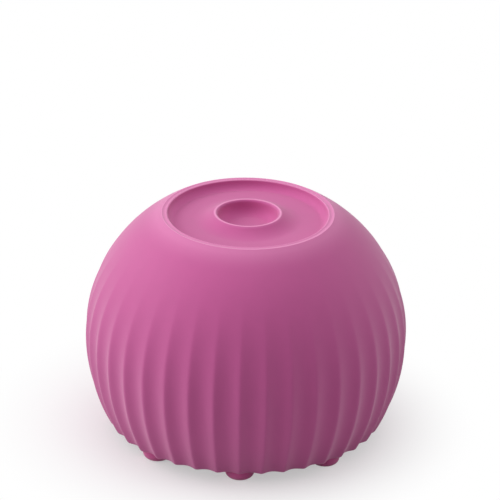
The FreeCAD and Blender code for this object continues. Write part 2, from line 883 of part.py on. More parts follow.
def counterweight():
    body = new_body("counterweight")
    inside = "hub_radius + screw_hole_fit"
    side = "sin(weight_span / 2)"
    fore = "cos(weight_span / 2)"
    sketch = new_sketch(body, "XY_Plane", "hub_flange_top")
    points = [
        (f"({inside}) * {side}", f"-({inside}) * {fore}", "x"),
        (f"weight_radius * {side}", f"-weight_radius * {fore}"),
        (f"-weight_radius * {side}", f"-weight_radius * {fore}", "x"),
        (f"-({inside}) * {side}", f"-({inside}) * {fore}"),
    ]
    outline(sketch, points, {1: ("0", "0", False), 3: ("0", "0", True)})
    pad(body, sketch, "weight_thickness")
    for sign in ("-", ""):
        bore(body, "hub_flange_top", "hub_flange_top + weight_thickness",
             f"{sign}weight_screw_circle * sin(weight_screw_turn)",
             "-weight_screw_circle * cos(weight_screw_turn)",
             "small_screw_radius + screw_hole_fit")
    return body


def counterweight_screws():
    body = new_body("counterweight_screws")
    seat = "hub_flange_top + weight_thickness"
    points = [("0", "hub_bottom + 0.2"), ("small_screw_radius", "hub_bottom + 0.2"),
              ("small_screw_radius", seat), ("1.5", seat), ("1.5", f"{seat} + 0.9"),
              ("0", f"{seat} + 0.9")]
    around(body, turned_aside(body, "weight_screw_circle", points), "2",
           "weight_screw_turn * 2")
    turn_by(body, "-90 - weight_screw_turn")
    return body


def bearing_clip():
    body = new_body("bearing_clip")
    on_cup_axis(body)
    sketch = new_sketch(body, "XY_Plane", "bearing_top")
    circle(sketch, "0", "0", "clip_radius")
    circle(sketch, "0", "0", "clip_groove_radius")
    pad(body, sketch, "clip_thickness")
    sketch = new_sketch(body, "XY_Plane", "bearing_top")
    mouth = "clip_groove_radius * 0.7"
    rectangle(sketch, ("0", f"-{mouth}"), ("clip_radius + 1", mouth))
    pocket(body, sketch, "clip_thickness", back=True)
    return body


# The motor

def motor_can():
    body = new_body("motor_can")
    inside = "motor_radius - motor_wall"
    turned(body, [
        (inside, "motor_bottom + motor_cap_height"),
        ("motor_radius", "motor_bottom + motor_cap_height"),
        ("motor_radius", "carriage_top"),
        ("motor_boss_radius", "carriage_top"),
        ("motor_boss_radius", "carriage_top - motor_wall"),
        (inside, "carriage_top - motor_wall"),
    ])
    bores(body, "carriage_top - motor_wall", "carriage_top", "motor_screw_circle",
          "1.2 + screw_hole_fit / 2", "2")
    return body


def motor_end_cap():
    body = new_body("motor_end_cap")
    lip = "motor_radius - motor_wall - lap_clearance"
    turned(body, [
        ("motor_boss_radius", "motor_bottom"),
        ("motor_radius", "motor_bottom"),
        ("motor_radius", "motor_bottom + motor_cap_height"),
        (lip, "motor_bottom + motor_cap_height"),
        (lip, "motor_bottom + motor_cap_height * 2"),
        ("motor_boss_radius", "motor_bottom + motor_cap_height * 2"),
    ])
    sketch = new_sketch(body, "XY_Plane", "motor_bottom")
    for sign in ("-", ""):
        low = (f"{sign}lead_row - 0.3", "-1.3")
        high = (f"{sign}lead_row + 0.3", "1.3")
        rectangle(sketch, low, high)
    pocket(body, sketch, "motor_cap_height * 2", back=True)
    return body


def motor_terminals():
    body = new_body("motor_terminals")
    sketch = new_sketch(body, "XY_Plane", "motor_bottom - 1.8")
    for sign in ("-", ""):
        low = (f"{sign}lead_row - 0.25", "-1.2")
        high = (f"{sign}lead_row + 0.25", "1.2")
        rectangle(sketch, low, high)
    pad(body, sketch, "1.8 + motor_cap_height * 2")
    return body


def motor_bushes():
    body = new_body("motor_bushes")
    bush_bore = "shaft_radius + shaft_fit * 2"
    bush = "motor_boss_radius - lap_clearance"
    levels_of = (("carriage_top - 2.6", "carriage_top + motor_boss_height"),
                 ("motor_bottom - motor_boss_height", "motor_bottom + motor_cap_height * 2"))
    sketch = new_sketch(body, "XZ_Plane")
    for low, high in levels_of:
        rectangle(sketch, (bush_bore, low), (bush, high))
    feature = body.newObject("PartDesign::Revolution", "motor_bushes_turned")
    feature.Profile = sketch
    feature.ReferenceAxis = (sketch, ["V_Axis"])
    feature.Angle = 360
    body.Tip = feature
    return body


def motor_magnets():
    body = new_body("motor_magnets")
    outside = "motor_radius - motor_wall - lap_clearance"
    inside = f"{outside} - magnet_thickness"
    sketch = new_sketch(body, "XY_Plane", "motor_bottom + motor_cap_height * 3")
    points = [
        (f"({inside}) * sin(70)", f"-({inside}) * cos(70)", "y"),
        (f"({outside}) * sin(70)", f"-({outside}) * cos(70)"),
        (f"({outside}) * sin(70)", f"({outside}) * cos(70)", "y"),
        (f"({inside}) * sin(70)", f"({inside}) * cos(70)"),
    ]
    outline(sketch, points, {1: ("0", "0", True), 3: ("0", "0", False)})
    feature = pad(body, sketch, "motor_length - motor_cap_height * 3 - 4")
    around(body, feature, "2")
    return body


def motor_shaft():
    body = new_body("motor_shaft")
    sketch = new_sketch(body, "XY_Plane", "motor_bottom - 0.9")
    circle(sketch, "0", "0", "shaft_radius")
    pad(body, sketch, "shaft_top - (motor_bottom - 0.9)")
    return body


def motor_rotor():
    body = new_body("motor_rotor")
    low = "motor_bottom + motor_cap_height * 4"
    high = "carriage_top - 5"
    turned(body, [
        ("shaft_radius", low),
        ("rotor_radius", low),
        ("rotor_radius", high),
        ("shaft_radius", high),
    ])
    sketch = new_sketch(body, "XY_Plane", low)
    rectangle(sketch, ("rotor_radius / 2", "-0.6"), ("rotor_radius + 1", "0.6"))
    around(body, pocket(body, sketch, f"{high} - ({low})", back=True), "3")
    return body


def motor_commutator():
    body = new_body("motor_commutator")
    low = "motor_bottom + motor_cap_height * 2 + 0.4"
    high = "motor_bottom + motor_cap_height * 4"
    turned(body, [
        ("shaft_radius", low),
        ("motor_boss_radius", low),
        ("motor_boss_radius", high),
        ("shaft_radius", high),
    ])
    return body


def motor_plate():
    body = new_body("motor_plate")
    turned(body, [
        ("motor_boss_radius + screw_hole_fit", "carriage_top"),
        ("motor_plate_radius", "carriage_top"),
        ("motor_plate_radius", "plate_top"),
        ("motor_boss_radius + screw_hole_fit", "plate_top"),
    ])
    bores(body, "carriage_top", "plate_top", "motor_screw_circle",
          "1.2 + screw_hole_fit", "2")
    bores(body, "carriage_top", "plate_top", "plate_screw_circle",
          "small_screw_radius + screw_hole_fit", "guide_count")
    return body


# The sprung carriage

def motor_carriage():
    body = new_body("motor_carriage")
    turned(body, [
        ("motor_boss_radius + motor_fit * 2", "carriage_bottom"),
        ("carriage_bore + carriage_wall", "carriage_bottom"),
        ("carriage_bore + carriage_wall", "carriage_flange_bottom - carriage_collar_height"),
        ("carriage_collar_radius", "carriage_flange_bottom - carriage_collar_height"),
        ("carriage_collar_radius", "carriage_flange_bottom"),
        ("carriage_flange_radius", "carriage_flange_bottom"),
        ("carriage_flange_radius", "carriage_top"),
        ("carriage_bore", "carriage_top"),
        ("carriage_bore", "carriage_floor_top"),
        ("motor_boss_radius + motor_fit * 2", "carriage_floor_top"),
    ])
    bores(body, "carriage_top - 6", "carriage_top", "plate_screw_circle",
          "small_screw_radius + screw_hole_fit / 2", "guide_count")
    for turn in spread("post_turn", "guide_count"):
        across, up = on_circle("post_circle_radius", turn)
        bore(body, "carriage_flange_bottom", "carriage_top", across, up,
             "shoulder_radius + shoulder_fit")
    for turn in spread("guide_turn", "guide_count"):
        across, up = on_circle("guide_circle_radius", turn)
        bore(body, "carriage_top - guide_pin_depth", "carriage_top", across, up,
             "guide_pin_radius")
    sketch = new_sketch(body, "XY_Plane", "carriage_bottom")
    circle(sketch, "0", "-switch_offset", "peg_radius")
    pad(body, sketch, "peg_length", back=True)
    sketch = new_sketch(body, "XY_Plane", "carriage_bottom")
    for sign in ("-", ""):
        low = (f"{sign}lead_row - 0.8", "-1.8")
        high = (f"{sign}lead_row + 0.8", "1.8")
        rectangle(sketch, low, high)
    pocket(body, sketch, "carriage_floor", back=True)
    return body


def guide_pins():
    body = new_body("guide_pins")
    posts(body, "carriage_top - guide_pin_depth", "guide_pin_top", "guide_circle_radius",
          "guide_pin_radius", "guide_count")
    turn_by(body, "guide_turn")
    return body


def spring_coil(middle):
    """One coil of round wire about an upright axis, in arcs of a quarter turn each."""
    wire = number("spring_wire_radius")
    radius = number("spring_radius")
    rise = number("spring_length") - 2 * wire
    quarters = 4 * whole("spring_turns")

    def at(quarter):
        angle = math.pi / 2 * quarter
        climb = wire + rise * quarter / quarters
        return middle + FreeCAD.Vector(radius * math.cos(angle), radius * math.sin(angle), climb)

    arcs = [Part.Arc(at(quarter), at(quarter + 0.5), at(quarter + 1)).toShape()
            for quarter in range(quarters)]
    start = FreeCAD.Vector(0, radius * math.pi / 2, rise / quarters)
    section = Part.Wire(Part.makeCircle(wire, at(0), start))
    return Part.Wire(arcs).makePipeShell([section], True, False)


def carriage_springs():
    """Three helical springs between the posts and the flange of the carriage."""
    coils = []
    for index in range(whole("guide_count")):
        angle = math.radians(number("post_turn") + index * 360 / whole("guide_count"))
        across = number("post_circle_radius") * math.cos(angle)
        aside = number("post_circle_radius") * math.sin(angle)
        coils.append(spring_coil(FreeCAD.Vector(across, aside, number("post_top"))))
    springs = doc.addObject("Part::Feature", "carriage_springs")
    springs.Shape = Part.makeCompound(coils)
    return springs


def guide_screws():
    body = new_body("guide_screws")
    points = [("0", "post_top - 7"), ("small_screw_radius * 1.5", "post_top - 7"),
              ("small_screw_radius * 1.5", "post_top"), ("shoulder_radius", "post_top"),
              ("shoulder_radius", "carriage_top"), ("3", "carriage_top"),
              ("3", "carriage_top + 1.8"), ("0", "carriage_top + 1.8")]
    around(body, turned_aside(body, "post_circle_radius", points), "guide_count")
    turn_by(body, "post_turn")
    return body


# The shells and the underside

def lower_shell_body():
    body = new_body("lower_shell_body")
    lap_floor = "equator_height - lap_depth - lap_clearance"
    turned(body, [
        ("0", "floor_bottom"),
        (skirt_radius("shell_skirt_radius", "floor_bottom"), "floor_bottom", "y"),
        ("shell_equator", "equator_height"),
        ("lap_radius", "equator_height"),
        ("lap_radius", lap_floor),
        (skirt_radius("shell_skirt_inside", lap_floor), lap_floor),
        (skirt_radius("shell_skirt_inside", "floor_top"), "floor_top", "y"),
        ("0", "floor_top"),
    ], {1: ("-skirt_arc_overrun", "equator_height", True),
        5: ("-skirt_arc_overrun", "equator_height", False)})
    turned(body, [
        ("motor_radius + motor_fit", "floor_top"),
        ("carriage_bore + carriage_wall", "floor_top"),
        ("carriage_bore + carriage_wall", "stop_top"),
        ("motor_radius + motor_fit", "stop_top"),
    ])
    for turn in spread("post_turn", "guide_count"):
        across, up = on_circle("post_circle_radius", turn)
        sketch = new_sketch(body, "XY_Plane", "floor_top")
        circle(sketch, across, up, "post_radius")
        pad(body, sketch, "post_top - floor_top")
        bore(body, "post_top - 8", "post_top", across, up, "small_screw_radius * 1.5")
    for turn in spread("shell_screw_turn", "column_count"):
        across, up = on_circle("column_circle_radius", turn)
        sketch = new_sketch(body, "XY_Plane", "floor_top")
        circle(sketch, across, up, "column_radius")
        pad(body, sketch, "equator_height - floor_top")
        bore(body, "floor_bottom", "equator_height - 9", across, up,
             "long_screw_head + screw_hole_fit")
        bore(body, "equator_height - 9", "equator_height", across, up,
             "long_screw_radius + screw_hole_fit")
    for turn in spread("base_screw_turn", "column_count"):
        across, up = on_circle("column_circle_radius", turn)
        sketch = new_sketch(body, "XY_Plane", "floor_top")
        circle(sketch, across, up, "long_screw_head")
        pad(body, sketch, "3")
        bore(body, "floor_bottom", "floor_top + 2.4", across, up,
             "small_screw_radius * 1.5")
    for sign in ("-", ""):
        sketch = new_sketch(body, "XY_Plane", "board_bottom - 1")
        rectangle(sketch, (f"{sign}(board_width / 2 - 3) - 2", "board_face"),
                  (f"{sign}(board_width / 2 - 3) + 2", "board_face + board_boss_depth"))
        pad(body, sketch, "port_height - board_bottom + 1")
    for sign in ("-", ""):
        sketch = new_sketch(body, "XZ_Plane", "-board_face")
        circle(sketch, f"{sign}(board_width / 2 - 3)", "port_height - 3", "small_screw_radius")
        pocket(body, sketch, "3")
    for sign in ("-", ""):
        sketch = new_sketch(body, "XY_Plane", "floor_top")
        low = (f"{sign}lead_row - 1.2", "0")
        high = (f"{sign}lead_row + 1.2", "motor_radius + 4")
        rectangle(sketch, low, high)
        pocket(body, sketch, "3", back=True)
    return body


def lower_shell():
    tools = rear_tools("lower_shell", "board_face + board_thickness * 2", "body_radius / 4",
                       "-2", "button_fit")
    return cut_from("lower_shell", lower_shell_body(), [*tools.values()])


def upper_shell_body():
    body = new_body("upper_shell_body")
    tongue = "lap_radius - lap_clearance"
    turned(body, [
        ("shell_equator_inside", "equator_height - lap_depth"),
        (tongue, "equator_height - lap_depth"),
        (tongue, "equator_height"),
        ("shell_equator", "equator_height"),
        ("opening_radius", crown_height("shell_crown_radius", "opening_radius"), "x"),
        ("opening_radius", crown_height("shell_crown_inside", "opening_radius"), "x"),
        ("shell_equator_inside", "equator_height"),
    ], {3: ("crown_arc_inset", "equator_height", True),
        5: ("crown_arc_inset", "equator_height", False)})
    sketch = new_sketch(body, "XY_Plane", "equator_height")
    circle(sketch, "column_circle_radius", "0", "column_radius")
    column_top = crown_height("shell_crown_inside", "column_circle_radius + column_radius")
    columns = pad(body, sketch, f"{column_top} + 1 - equator_height")
    around(body, columns, "column_count")
    bores(body, "equator_height", "equator_height + 12", "column_circle_radius",
          "long_screw_radius", "column_count")
    turn_by(body, "shell_screw_turn")
    return body


def upper_shell():
    tools = rear_tools("upper_shell", "board_face + board_thickness * 2", "body_radius / 4",
                       "-2", "button_fit")
    return cut_from("upper_shell", upper_shell_body(), [*tools.values()])


def shell_screws():
    return screw("shell_screws", "column_circle_radius", "column_count", "equator_height + 11",
                 "equator_height - 9", "equator_height - 11", "long_screw_radius",
                 "long_screw_head", turn="shell_screw_turn")


def base_cover():
    body = new_body("base_cover")
    spigot_inside = "spigot_radius - spigot_wall"
    turned(body, [
        ("0", "underside_height"),
        ("cover_radius", "underside_height"),
        ("cover_radius", "cover_top"),
        ("spigot_radius", "cover_top"),
        ("spigot_radius", "floor_bottom"),
        (spigot_inside, "floor_bottom"),
        (spigot_inside, "cover_top"),
        ("0", "cover_top"),
    ])
    bores(body, "underside_height", "floor_bottom", "foot_ring_radius",
          "foot_stem_radius + foot_stem_fit", "foot_count")
    turn_by(body, "foot_turn")
    for turn in spread("base_screw_turn - foot_turn", "column_count"):
        across, up = on_circle("column_circle_radius", turn)
        bore(body, "underside_height", "floor_bottom", across, up,
             "small_screw_radius * 1.5 + screw_hole_fit")
        bore(body, "underside_height", "underside_height + 1.6", across, up,
             "long_screw_head + screw_hole_fit")
    return body


def base_screws():
    return screw("base_screws", "column_circle_radius", "column_count", "floor_top + 2",
                 "underside_height + 1.6", "underside_height + 0.2",
                 "small_screw_radius * 1.5 - screw_hole_fit / 2", "long_screw_head",
                 turn="base_screw_turn")


def foot(index):
    """One round stub foot with a stem that is pressed into the cover."""
    body = new_body(f"foot_{index + 1}")
    turned(body, [
        ("0", "0"),
        ("foot_radius - foot_round", "0"),
        ("foot_radius", "foot_round", "y"),
        ("foot_radius", "underside_height"),
        ("foot_stem_radius", "underside_height"),
        ("foot_stem_radius", "floor_bottom - foot_stem_fit"),
        ("0", "floor_bottom - foot_stem_fit"),
    ], {1: ("foot_radius - foot_round", "foot_round", True)})
    angle = f"(foot_turn + {index} * 360 / foot_count)"
    body.setExpression("Placement.Base.x", formula(f"foot_ring_radius * cos({angle})"))
    body.setExpression("Placement.Base.y", formula(f"foot_ring_radius * sin({angle})"))
    return body


# The electrics

def switch_body():
    body = new_body("switch_body")
    sketch = new_sketch(body, "XY_Plane", "floor_top")
    rectangle(sketch, ("-switch_length / 2", "-switch_offset - switch_width / 2"),
              ("switch_length / 2", "-switch_offset + switch_width / 2"))
    pad(body, sketch, "switch_height")
    bore(body, "switch_top - 2", "switch_top", "0", "-switch_offset",
         "peg_radius - motor_fit * 3 + lap_clearance")
    return body


def switch_plunger():
    body = new_body("switch_plunger")
    sketch = new_sketch(body, "XY_Plane", "switch_top - 0.4")
    circle(sketch, "0", "-switch_offset", "peg_radius - motor_fit * 3")
    pad(body, sketch, "plunger_tip - switch_top + 0.4")
    return body


def battery_cell():
    body = new_body("battery_cell")
    nub = "cell_radius / 3"
    turned(body, [
        ("0", "-cell_length / 2"),
        ("cell_radius - 0.4", "-cell_length / 2"),
        ("cell_radius", "-cell_length / 2 + 0.4"),
        ("cell_radius", "cell_length / 2 - 0.4"),
        ("cell_radius - 0.4", "cell_length / 2"),
        (nub, "cell_length / 2"),
        (nub, "cell_length / 2 + 1"),
        ("0", "cell_length / 2 + 1"),
    ])
    body.Placement = FreeCAD.Placement(
        FreeCAD.Vector(), FreeCAD.Rotation(FreeCAD.Vector(0, 1, 0), 90))
    body.setExpression("Placement.Base.y", formula("cell_row"))
    body.setExpression("Placement.Base.z", formula("cell_height"))
    return body


def battery_holder():
    body = new_body("battery_holder")
    end = "cell_length / 2 + 3"
    half = "cell_radius + holder_wall"
    sketch = new_sketch(body, "XY_Plane", "floor_top")
    rectangle(sketch, (f"-({end})", f"cell_row - ({half})"), (end, f"cell_row + ({half})"))
    pad(body, sketch, "cell_lift + cell_radius + 1")
    trough = new_sketch(body, "YZ_Plane", f"-({end} - holder_wall)")
    circle(trough, "cell_row", "cell_height", "cell_radius + lap_clearance")
    pocket(body, trough, f"2 * ({end} - holder_wall)", back=True)
    return body


def battery_contacts():
    body = new_body("battery_contacts")
    for end, near in (("cell_length / 2 + 1", False), ("-cell_length / 2", True)):
        sketch = new_sketch(body, "YZ_Plane", end)
        low = ("cell_row - 3", "cell_height - 4.5")
        rectangle(sketch, low, ("cell_row + 3", "cell_height + 4.5"))
        pad(body, sketch, "0.4", back=near)
    return body


def circuit_board():
    body = new_body("circuit_board")
    sketch = new_sketch(body, "XZ_Plane", "-(board_face - board_thickness)")
    rectangle(sketch, ("-board_width / 2", "board_bottom"),
              ("board_width / 2", "board_bottom + board_height"))
    for sign in ("-", ""):
        circle(sketch, f"{sign}(board_width / 2 - 3)", "port_height - 3",
               "small_screw_radius + screw_hole_fit")
    pad(body, sketch, "board_thickness", back=True)
    return body


def board_screws():
    body = new_body("board_screws")
    stages = (("small_screw_radius - lap_clearance", "4", True), ("1.6", "1", False))
    for radius, reach, back in stages:
        sketch = new_sketch(body, "XZ_Plane", "-(board_face - board_thickness)")
        for sign in ("-", ""):
            circle(sketch, f"{sign}(board_width / 2 - 3)", "port_height - 3", radius)
        pad(body, sketch, reach, back=back)
    return body


def board_chips():
    body = new_body("board_chips")
    sketch = new_sketch(body, "XZ_Plane", "-(board_face - board_thickness)")
    rectangle(sketch, ("-3", "board_bottom + 8"), ("3", "board_bottom + 13"))
    rectangle(sketch, ("-9", "board_bottom + 16"), ("-5", "board_bottom + 20"))
    rectangle(sketch, ("5", "board_bottom + 16"), ("10", "board_bottom + 21"))
    pad(body, sketch, "1.2")
    return body


def usb_socket():
    body = new_body("usb_socket")
    sketch = new_sketch(body, "XZ_Plane", "-board_face")
    stadium(sketch, "port_height", "port_width", "port_thickness")
    pad(body, sketch, "port_reach - board_face", back=True)
    mouth = new_sketch(body, "XZ_Plane", "-port_reach")
    stadium(mouth, "port_height", "port_width - port_wall * 2", "port_thickness - port_wall * 2")
    pocket(body, mouth, "port_reach - board_face - 2", back=True)
    tongue = new_sketch(body, "XZ_Plane", "-(board_face + 2)")
    rectangle(tongue, ("-port_width * 0.37", "port_height - 0.35"),
              ("port_width * 0.37", "port_height + 0.35"))
    pad(body, tongue, "port_reach - board_face - 3", back=True)
    return body


def port_bezel():
    body = new_body("port_bezel")
    root = "bezel_floor - 1"
    sketch = new_sketch(body, "XZ_Plane", f"-({root})")
    stadium(sketch, "port_height", "bezel_width - trim_fit", "bezel_height - trim_fit")
    pad(body, sketch, f"bezel_face - ({root})", back=True)
    opening = new_sketch(body, "XZ_Plane", "-bezel_face")
    stadium(opening, "port_height", "bezel_opening_width", "bezel_opening_height")
    pocket(body, opening, "bezel_face - bezel_floor", back=True)
    throat = new_sketch(body, "XZ_Plane", "-bezel_floor")
    stadium(throat, "port_height", "port_width + trim_fit", "port_thickness + trim_fit")
    pocket(body, throat, "1", back=True)
    return body


def status_led():
    body = new_body("status_led")
    sketch = new_sketch(body, "XZ_Plane", "-board_face")
    rectangle(sketch, ("-1.5", "light_height - 0.8"), ("1.5", "light_height + 0.8"))
    pad(body, sketch, "1.1", back=True)
    return body


def light_pipe():
    body = new_body("light_pipe")
    sketch = new_sketch(body, "XZ_Plane", "-(board_face + 1.4)")
    circle(sketch, "0", "light_height", "light_radius")
    pad(body, sketch, "light_face - board_face - 1.4", back=True)
    return body


def tact_switch():
    body = new_body("tact_switch")
    sketch = new_sketch(body, "XZ_Plane", "-board_face")
    rectangle(sketch, ("-tact_size / 2", "button_height - tact_size / 2"),
              ("tact_size / 2", "button_height + tact_size / 2"))
    pad(body, sketch, "tact_depth", back=True)
    well = new_sketch(body, "XZ_Plane", "-(board_face + tact_depth)")
    circle(well, "0", "button_height", "tact_radius + lap_clearance")
    pocket(body, well, "1.2", back=True)
    return body


def tact_plunger():
    body = new_body("tact_plunger")
    sketch = new_sketch(body, "XZ_Plane", "-(board_face + tact_depth - 0.3)")
    circle(sketch, "0", "button_height", "tact_radius")
    pad(body, sketch, "button_travel + 0.3 + lap_clearance", back=True)
    return body


def power_button():
    body = new_body("power_button")
    stem = new_sketch(body, "XZ_Plane", "-(button_back + lap_clearance)")
    circle(stem, "0", "button_height", "button_stem_radius")
    pad(body, stem, "button_flange_face - button_back", back=True)
    flange = new_sketch(body, "XZ_Plane", "-(button_flange_face - button_flange_thickness)")
    circle(flange, "0", "button_height", "button_flange_radius")
    pad(body, flange, "button_flange_thickness", back=True)
    cap = new_sketch(body, "XZ_Plane", "-button_flange_face")
    circle(cap, "0", "button_height", "button_radius")
    pad(body, cap, "button_face - button_flange_face", back=True)
    return body


def lead(points, radius, bend):
    """A lead along straight runs joined by tangent arcs, from its route's corners."""
    corners = [FreeCAD.Vector(*(number(part) for part in point)) for point in points]
    edges = []
    start = corners[0]
    for before, corner, after in zip(corners, corners[1:], corners[2:]):
        back = (before - corner).normalize()
        ahead = (after - corner).normalize()
        half = back.getAngle(ahead) / 2
        reach = bend / math.tan(half)
        first = corner + back * reach
        last = corner + ahead * reach
        middle = (back + ahead).normalize() * (bend / math.sin(half) - bend)
        edges.append(Part.makeLine(start, first))
        edges.append(Part.Arc(first, corner + middle, last).toShape())
        start = last
    edges.append(Part.makeLine(start, corners[-1]))
    path = Part.Wire(edges)
    section = Part.Wire(Part.makeCircle(radius, corners[0], corners[1] - corners[0]))
    return path.makePipeShell([section], True, False)


def leads(name, routes):
    """A pair of leads."""
    pair = doc.addObject("Part::Feature", name)
    thickness = number("lead_radius")
    bend = number("lead_bend")
    pair.Shape = Part.makeCompound([lead(route, thickness, bend) for route in routes])
    return pair


def battery_leads():
    """From the contacts of the battery over it to the circuit board."""
    over = "cell_height + cell_radius + 5"
    routes = []
    for end in ("cell_length / 2 + 1.2", "-(cell_length / 2 + 0.7)"):
        sign = "-" if end.startswith("-") else ""
        routes.append([
            (end, "cell_row", "cell_height + 4.6"),
            (end, "cell_row", over),
            (f"{sign}(lead_row - 3)", "cell_row + 8", over),
            (f"{sign}(lead_row - 3)", "board_face - board_thickness", over),
        ])
    return leads("battery_leads", routes)


def motor_leads():
    """From under the terminals, through the ring and up behind it, to the circuit board."""
    low = "floor_top + lead_lift"
    row = "carriage_bore + carriage_wall - 1.25"
    over = "cell_height + cell_radius + 2.3"
    routes = []
    for sign in ("-", ""):
        across = f"{sign}lead_row"
        routes.append([
            (across, "0", "stop_top - 0.5"),
            (across, "0", low),
            (across, row, low),
            (across, row, over),
            (across, "board_face - board_thickness", over),
        ])
    return leads("motor_leads", routes)


SUB_PARTS = [
    silicone_sleeve(),
    cup_pad(),
    cup_carrier(),
    bearing_retainer(),
    retainer_screws(),
    *bearing_races(),
    bearing_balls(),
    ball_cage(),
    eccentric_hub(),
    hub_set_screw(),
    counterweight(),
    counterweight_screws(),
    bearing_clip(),
    motor_can(),
    motor_end_cap(),
    motor_terminals(),
    motor_bushes(),
    motor_magnets(),
    motor_shaft(),
    motor_rotor(),
    motor_commutator(),
    motor_plate(),
    screw("motor_screws", "motor_screw_circle", "2", "plate_top - 2.4", "plate_top",
          "plate_top + 1.2", "1.2", "2"),
    screw("plate_screws", "plate_screw_circle", "guide_count", "plate_top - 6",
          "plate_top", "plate_top + 1", "small_screw_radius", "1.6"),
    motor_carriage(),
    guide_pins(),
    carriage_springs(),
    guide_screws(),
    lower_shell(),
    upper_shell(),
    shell_screws(),
    base_cover(),
    base_screws(),
    *[foot(index) for index in range(whole("foot_count"))],
    switch_body(),
    switch_plunger(),
    battery_cell(),
    battery_holder(),
    battery_contacts(),
    circuit_board(),
    board_screws(),
    board_chips(),
    usb_socket(),
    port_bezel(),
    status_led(),
    light_pipe(),
    tact_switch(),
    tact_plunger(),
    power_button(),
    battery_leads(),
    motor_leads(),
]

doc.recompute()

# Every object has to be sound before anything is written
faults = [item.Name for item in doc.Objects if {"Invalid", "Error"} & set(item.State)]
for part in SUB_PARTS:
    if part.Shape.isNull() or not part.Shape.isValid():
        faults.append(part.Label)
if faults:
    raise RuntimeError("unsound: " + ", ".join(faults))

os.makedirs("parts", exist_ok=True)
for part in SUB_PARTS:
    part.Shape.exportStep(f"parts/{part.Label}.step")
    print(f"{part.Label}: {len(part.Shape.Solids)} solid(s), {part.Shape.Volume:.0f} mm3")
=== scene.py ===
# %% [markdown]
# # A nail polish shaker
#
# A ball of soft silicone, 110 mm wide, with a dimpled cup in its top. When the cup is pressed, it
# sinks onto a switch, and a motor makes it orbit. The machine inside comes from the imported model.
# This lesson makes the soft outer pieces as surfaces, gives every piece its finish, and sets up
# a plain studio.
#
# The lengths of the pieces are in millimetres until a mesh is made. Those of the studio are in
# metres.

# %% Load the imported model
import math

import bpy
import numpy as np
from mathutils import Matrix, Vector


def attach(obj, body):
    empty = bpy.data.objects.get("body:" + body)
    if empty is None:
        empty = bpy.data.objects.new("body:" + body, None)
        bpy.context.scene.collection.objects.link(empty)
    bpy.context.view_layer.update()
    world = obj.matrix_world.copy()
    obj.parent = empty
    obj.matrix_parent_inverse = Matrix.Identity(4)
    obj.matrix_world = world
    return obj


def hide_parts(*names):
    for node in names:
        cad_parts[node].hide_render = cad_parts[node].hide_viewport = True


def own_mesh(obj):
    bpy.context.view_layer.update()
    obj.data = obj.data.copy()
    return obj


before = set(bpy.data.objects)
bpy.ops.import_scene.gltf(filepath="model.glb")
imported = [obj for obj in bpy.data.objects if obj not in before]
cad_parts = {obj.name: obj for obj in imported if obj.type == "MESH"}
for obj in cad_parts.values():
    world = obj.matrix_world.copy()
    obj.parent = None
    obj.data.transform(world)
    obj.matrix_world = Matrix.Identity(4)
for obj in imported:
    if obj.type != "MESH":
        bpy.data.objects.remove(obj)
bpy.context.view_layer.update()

# %% [markdown]
# ## From a table of points to a mesh
#
# A surface is a function of two parameters. Computed for whole arrays at once, it gives a table
# of points with one row for each step along a profile and one column for each step around. The
# faces are the same index pattern for every such table, so one helper can turn any table into a
# mesh. Spinning a curve with a modifier would also do for the round pieces, but not for the
# flutes, which change the radius at every angle.

# %% Tables of points as meshes
MM = 0.001


def grid_faces(rows, columns, closed_rows=False):
    """Quads between neighbouring points of a table that closes around its columns."""
    up = np.arange(rows if closed_rows else rows - 1)[:, None]
    around = np.arange(columns)[None, :]
    beside = (around + 1) % columns
    above = (up + 1) % rows
    corners = [up * columns + around, up * columns + beside,
               above * columns + beside, above * columns + around]
    return np.stack(np.broadcast_arrays(*corners), axis=-1).reshape(-1, 4)


def end_caps(rows, columns, first_centre, last_centre):
    """Triangles that close the first and the last row of a table, each about a centre point."""
    ring = np.arange(columns)
    beside = (ring + 1) % columns
    last = (rows - 1) * columns
    first_cap = np.stack([np.full(columns, first_centre), beside, ring], axis=-1)
    last_cap = np.stack([np.full(columns, last_centre), last + ring, last + beside], axis=-1)
    return np.vstack([first_cap, last_cap])


def make_piece(name, points, faces, body, node, smooth_angle=40, painted_highlight=None):
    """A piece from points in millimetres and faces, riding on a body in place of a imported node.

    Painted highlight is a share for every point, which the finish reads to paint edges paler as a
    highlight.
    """
    mesh = bpy.data.meshes.new(name)
    mesh.from_pydata((points * MM).tolist(), [], [list(face) for face in faces])
    # a share of painted highlight on each point
    if painted_highlight is not None:
        mesh.attributes.new("painted_highlight", "FLOAT", "POINT").data.foreach_set("value", painted_highlight)
    mesh.validate()
    mesh.update()
    mesh.shade_smooth()
    mesh.set_sharp_from_angle(angle=math.radians(smooth_angle))
    piece = bpy.data.objects.new(name, mesh)
    bpy.context.scene.collection.objects.link(piece)
    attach(piece, body)
    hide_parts(node)
    low, high = points.min(0), points.max(0)
    print(f"{name}: {len(faces)} faces, {np.round(high - low, 1)} mm")
    return piece


# %% [markdown]
# Round pieces share three more helpers: one rounds the corners of an outline, one turns an
# outline about an axis, and one puts copies of a small shape on a circle.

